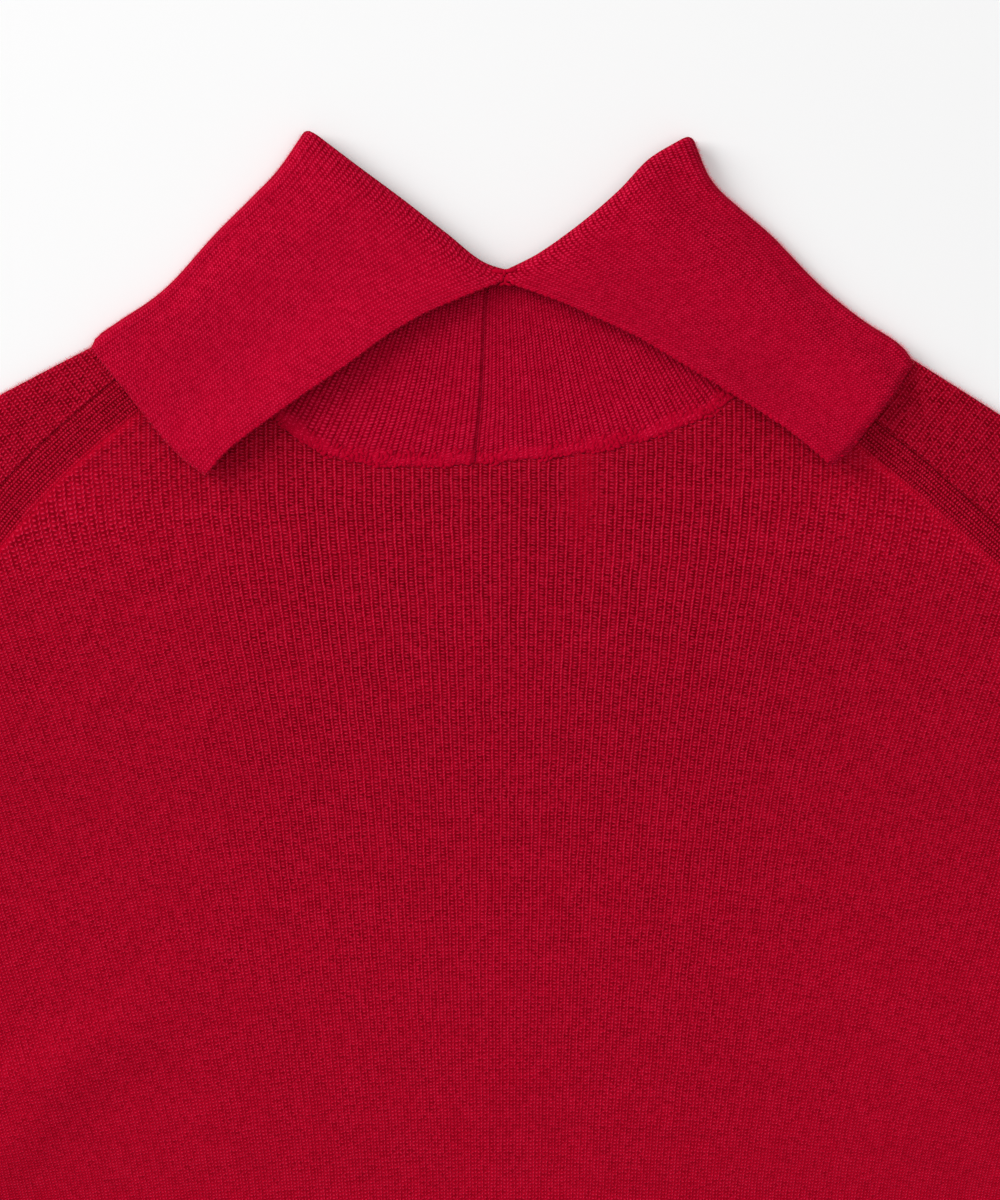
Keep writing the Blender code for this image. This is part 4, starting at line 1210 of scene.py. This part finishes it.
def knit_material(name, painted_shade_mid_highlight, rise, vee, uneven):
    """Stitches from the mesh's own knit coordinates: beaded legs in columns, with pores between, coloured by
    height with painted shade in the pores and painted highlight on the stitch tops.
    """
    n = Nodes(name)
    knit, look, seam = (n.parts(n.field(field)) for field in ("knit", "look", "seam"))
    openness, ribbing = look[1], look[2]
    in_band = n.math("LESS_THAN", seam[0], 1.0)
    wale = n.pick(in_band, knit[0], seam[1])
    course = n.pick(in_band, knit[1], seam[2])
    flat = n.node("ShaderNodeCombineXYZ", {0: wale, 1: course}).outputs[0]
    slow = n.parts(n.noise("Color", **SLOW_NOISE, Vector=flat))
    fine = n.noise("Fac", **FINE_NOISE, Vector=flat)
    wale = n.plus(wale, n.around(slow[0], WALE_DRIFT * uneven))
    course = n.plus(course, n.around(slow[1], COURSE_DRIFT * uneven))
    # A narrow and a wide column to each wale where the knit is open, two alike where it is closed
    place = n.minus(n.math("FRACT", wale), 0.5)
    off = n.math("ABSOLUTE", place)
    gain = n.times(openness, OPEN_GAIN)
    phase = n.line(place, 4 * pi * vee, n.times(course, 4 * pi))
    up, over = n.math("COSINE", phase), n.math("SINE", phase)
    wide_half = n.plus(n.times(gain, n.line(up, *V_SWING)), COLUMN_HALF)
    wide = n.minus(1.0, n.math("POWER", n.math("DIVIDE", off, wide_half), WIDE_POWER), clamp=True)
    narrow = n.math("DIVIDE", n.minus(0.5, off), n.minus(COLUMN_HALF, gain))
    narrow = n.minus(1.0, n.math("POWER", narrow, NARROW_POWER), clamp=True)
    dashes = n.times(wide, n.line(up, n.line(openness, *DASH_SWING), n.line(openness, *DASH_MIDDLE)))
    beads = n.times(narrow, n.line(over, n.line(openness, *BEAD_SWING), n.line(openness, *BEAD_MIDDLE)))
    base = n.line(ribbing, RIBBED_PORE, n.line(openness, *PORE))
    height = n.math("MAXIMUM", n.math("MAXIMUM", dashes, beads), base)
    cell = {k: n.math("FLOOR", n.times(value, 2.0)) for k, value in enumerate((wale, course))}
    cell = n.node("ShaderNodeCombineXYZ", cell).outputs[0]
    random = n.node("ShaderNodeTexWhiteNoise", {"Vector": cell}, noise_dimensions="3D").outputs["Value"]
    height = n.plus(n.plus(height, n.around(random, RANDOM_HEIGHT)), n.around(fine, FINE_HEIGHT))
    relief = n.times(knit[2], n.line(slow[0], *SLOW_RELIEF))
    shown = n.line(n.minus(height, 0.5), relief, 0.5)
    # Painted shade in the grooves between ribs
    groove = n.times(n.step(off, *RIB_GROOVE_EDGES), ribbing)
    shown = n.minus(shown, n.times(groove, RIB_GROOVE_PAINTED_SHADE))
    # Colour by height: painted shade in the pores, the yarn's red between, painted highlight on the stitch
    # tops
    pore_painted_shade, mid, light = painted_shade_mid_highlight
    colour = n.blend(n.step(shown, *PAINTED_SHADE_TO_MID), pore_painted_shade, mid)
    colour = n.blend(n.step(shown, *MID_TO_PAINTED_HIGHLIGHT), colour, light)
    tone = n.plus(look[0], n.around(slow[2], SLOW_TONE))
    colour = n.node("ShaderNodeVectorMath", {0: colour, "Scale": tone}, operation="SCALE").outputs[0]
    bumped = {"Strength": 1.0, "Distance": rise, "Height": n.times(height, knit[2])}
    normal = n.node("ShaderNodeBump", bumped).outputs[0]
    return n.surface(colour, n.line(fine, *FINE_ROUGHNESS), SPECULAR, {"Normal": normal, **SHEEN})


# Each: painted pore shade, the yarn's red, painted highlight on the stitch tops
BODY_PAINTED_SHADE_MID_HIGHLIGHT = (0.15, 0.0, 0.003, 1), (0.43, 0.0008, 0.015, 1), (0.7, 0.014, 0.058, 1)
COLLAR_PAINTED_SHADE_MID_HIGHLIGHT = (0.18, 0.0, 0.005, 1), (0.42, 0.0009, 0.019, 1), (0.71, 0.014, 0.066, 1)
body_yarn = knit_material("body_knit", BODY_PAINTED_SHADE_MID_HIGHLIGHT, rise=0.55 * MM, vee=0.15, uneven=0.4)
collar_yarn = knit_material("collar_knit", COLLAR_PAINTED_SHADE_MID_HIGHLIGHT, rise=0.35 * MM, vee=0.3, uneven=0.2)
fibre_yarn = fibre_material()


def lump_piece(name, spots, tone):
    piece = plain_mesh(name, *stitch_lumps(spots), collar_yarn, (tone, 0, 0))
    return piece


def fibre_piece(name, lines, table):
    points, faces, looks = fibres(lines, table, rng)
    piece = plain_mesh(name, points, faces, fibre_yarn, looks)
    return piece


back = build_back().make("back_panel", body_yarn)
front = build_front().make("front_panel", body_yarn)
sleeves = {side: build_sleeve(side).make("sleeve_tube_" + side, body_yarn) for side in SIDES}
collar_cloth, collar_lines = build_collar()
collar = collar_cloth.make("collar_strip", collar_yarn)
shoulder_lines = {side: shoulder_outline(side) for side in SIDES}
rng = np.random.default_rng(5)
stitches = lump_piece("collar_edge_stitches", edge_stitches(collar_lines, rng), 1.08)
linking = lump_piece("collar_linking", linking_stitches(collar_lines, rng), 1.03)
tack = lump_piece("collar_tack", tack_stitches(collar_lines), 1.08)
collar_fuzz = fibre_piece("collar_fibres", collar_lines, COLLAR_FIBRES)
shoulder_fuzz = fibre_piece("shoulder_fibres", shoulder_lines, SHOULDER_FIBRES)

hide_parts("back")
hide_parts("front")
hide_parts("sleeve_left")
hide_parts("sleeve_right")
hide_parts("collar")


# Floor, light and camera


def add_floor():
    n = Nodes("pale_floor")
    colour = n.blend(n.noise("Fac", 3.0, 2.0), (0.94, 0.94, 0.94, 1), (0.965, 0.965, 0.965, 1))
    mesh = bpy.data.meshes.new("floor")
    corners = [(x * FLOOR_REACH, y * FLOOR_REACH, 0) for x, y in ((-1, -1), (1, -1), (1, 1), (-1, 1))]
    mesh.from_pydata(corners, [], [(0, 1, 2, 3)])
    mesh.materials.append(n.surface(colour, 0.8, 0.1))
    link("floor", mesh)


def add_light(name, place, target, size, power):
    data = bpy.data.lights.new(name, "AREA")
    data.shape, data.size, data.energy = "SQUARE", size, power
    lamp = link(name, data)
    lamp.location = place
    lamp.rotation_euler = (Vector(target) - Vector(place)).to_track_quat("-Z", "Y").to_euler()


def add_camera():
    """Straight above, as the photo is taken, and far enough for the frame's height to fill it."""
    data = bpy.data.cameras.new("camera")
    data.lens, data.sensor_width = LENS, SENSOR
    scene.camera = link("camera", data)
    scene.camera.location = (*FRAME_MIDDLE, FRAME_HEIGHT * LENS / SENSOR + CLOTH_HEIGHT)


FLOOR_REACH = 4.0
LENS = 100
SENSOR = 36
FRAME_HEIGHT = 396 * MM
FRAME_MIDDLE = (-1.65 * MM, 168.88 * MM)
CLOTH_HEIGHT = 8 * MM
add_floor()
add_light("key", (-3.0, 1.6, 1.9), (0, 0.15, 0), size=2.4, power=124)
add_light("fill", (0.3, 0.3, 2.4), (0, 0.1, 0), size=2.2, power=20)
add_camera()
scene.view_settings.view_transform = "Standard"
scene.world = bpy.data.worlds.new("studio")
scene.world.use_nodes = True
background = scene.world.node_tree.nodes["Background"].inputs
background["Color"].default_value = (1, 1, 1, 1)
background["Strength"].default_value = 0.34
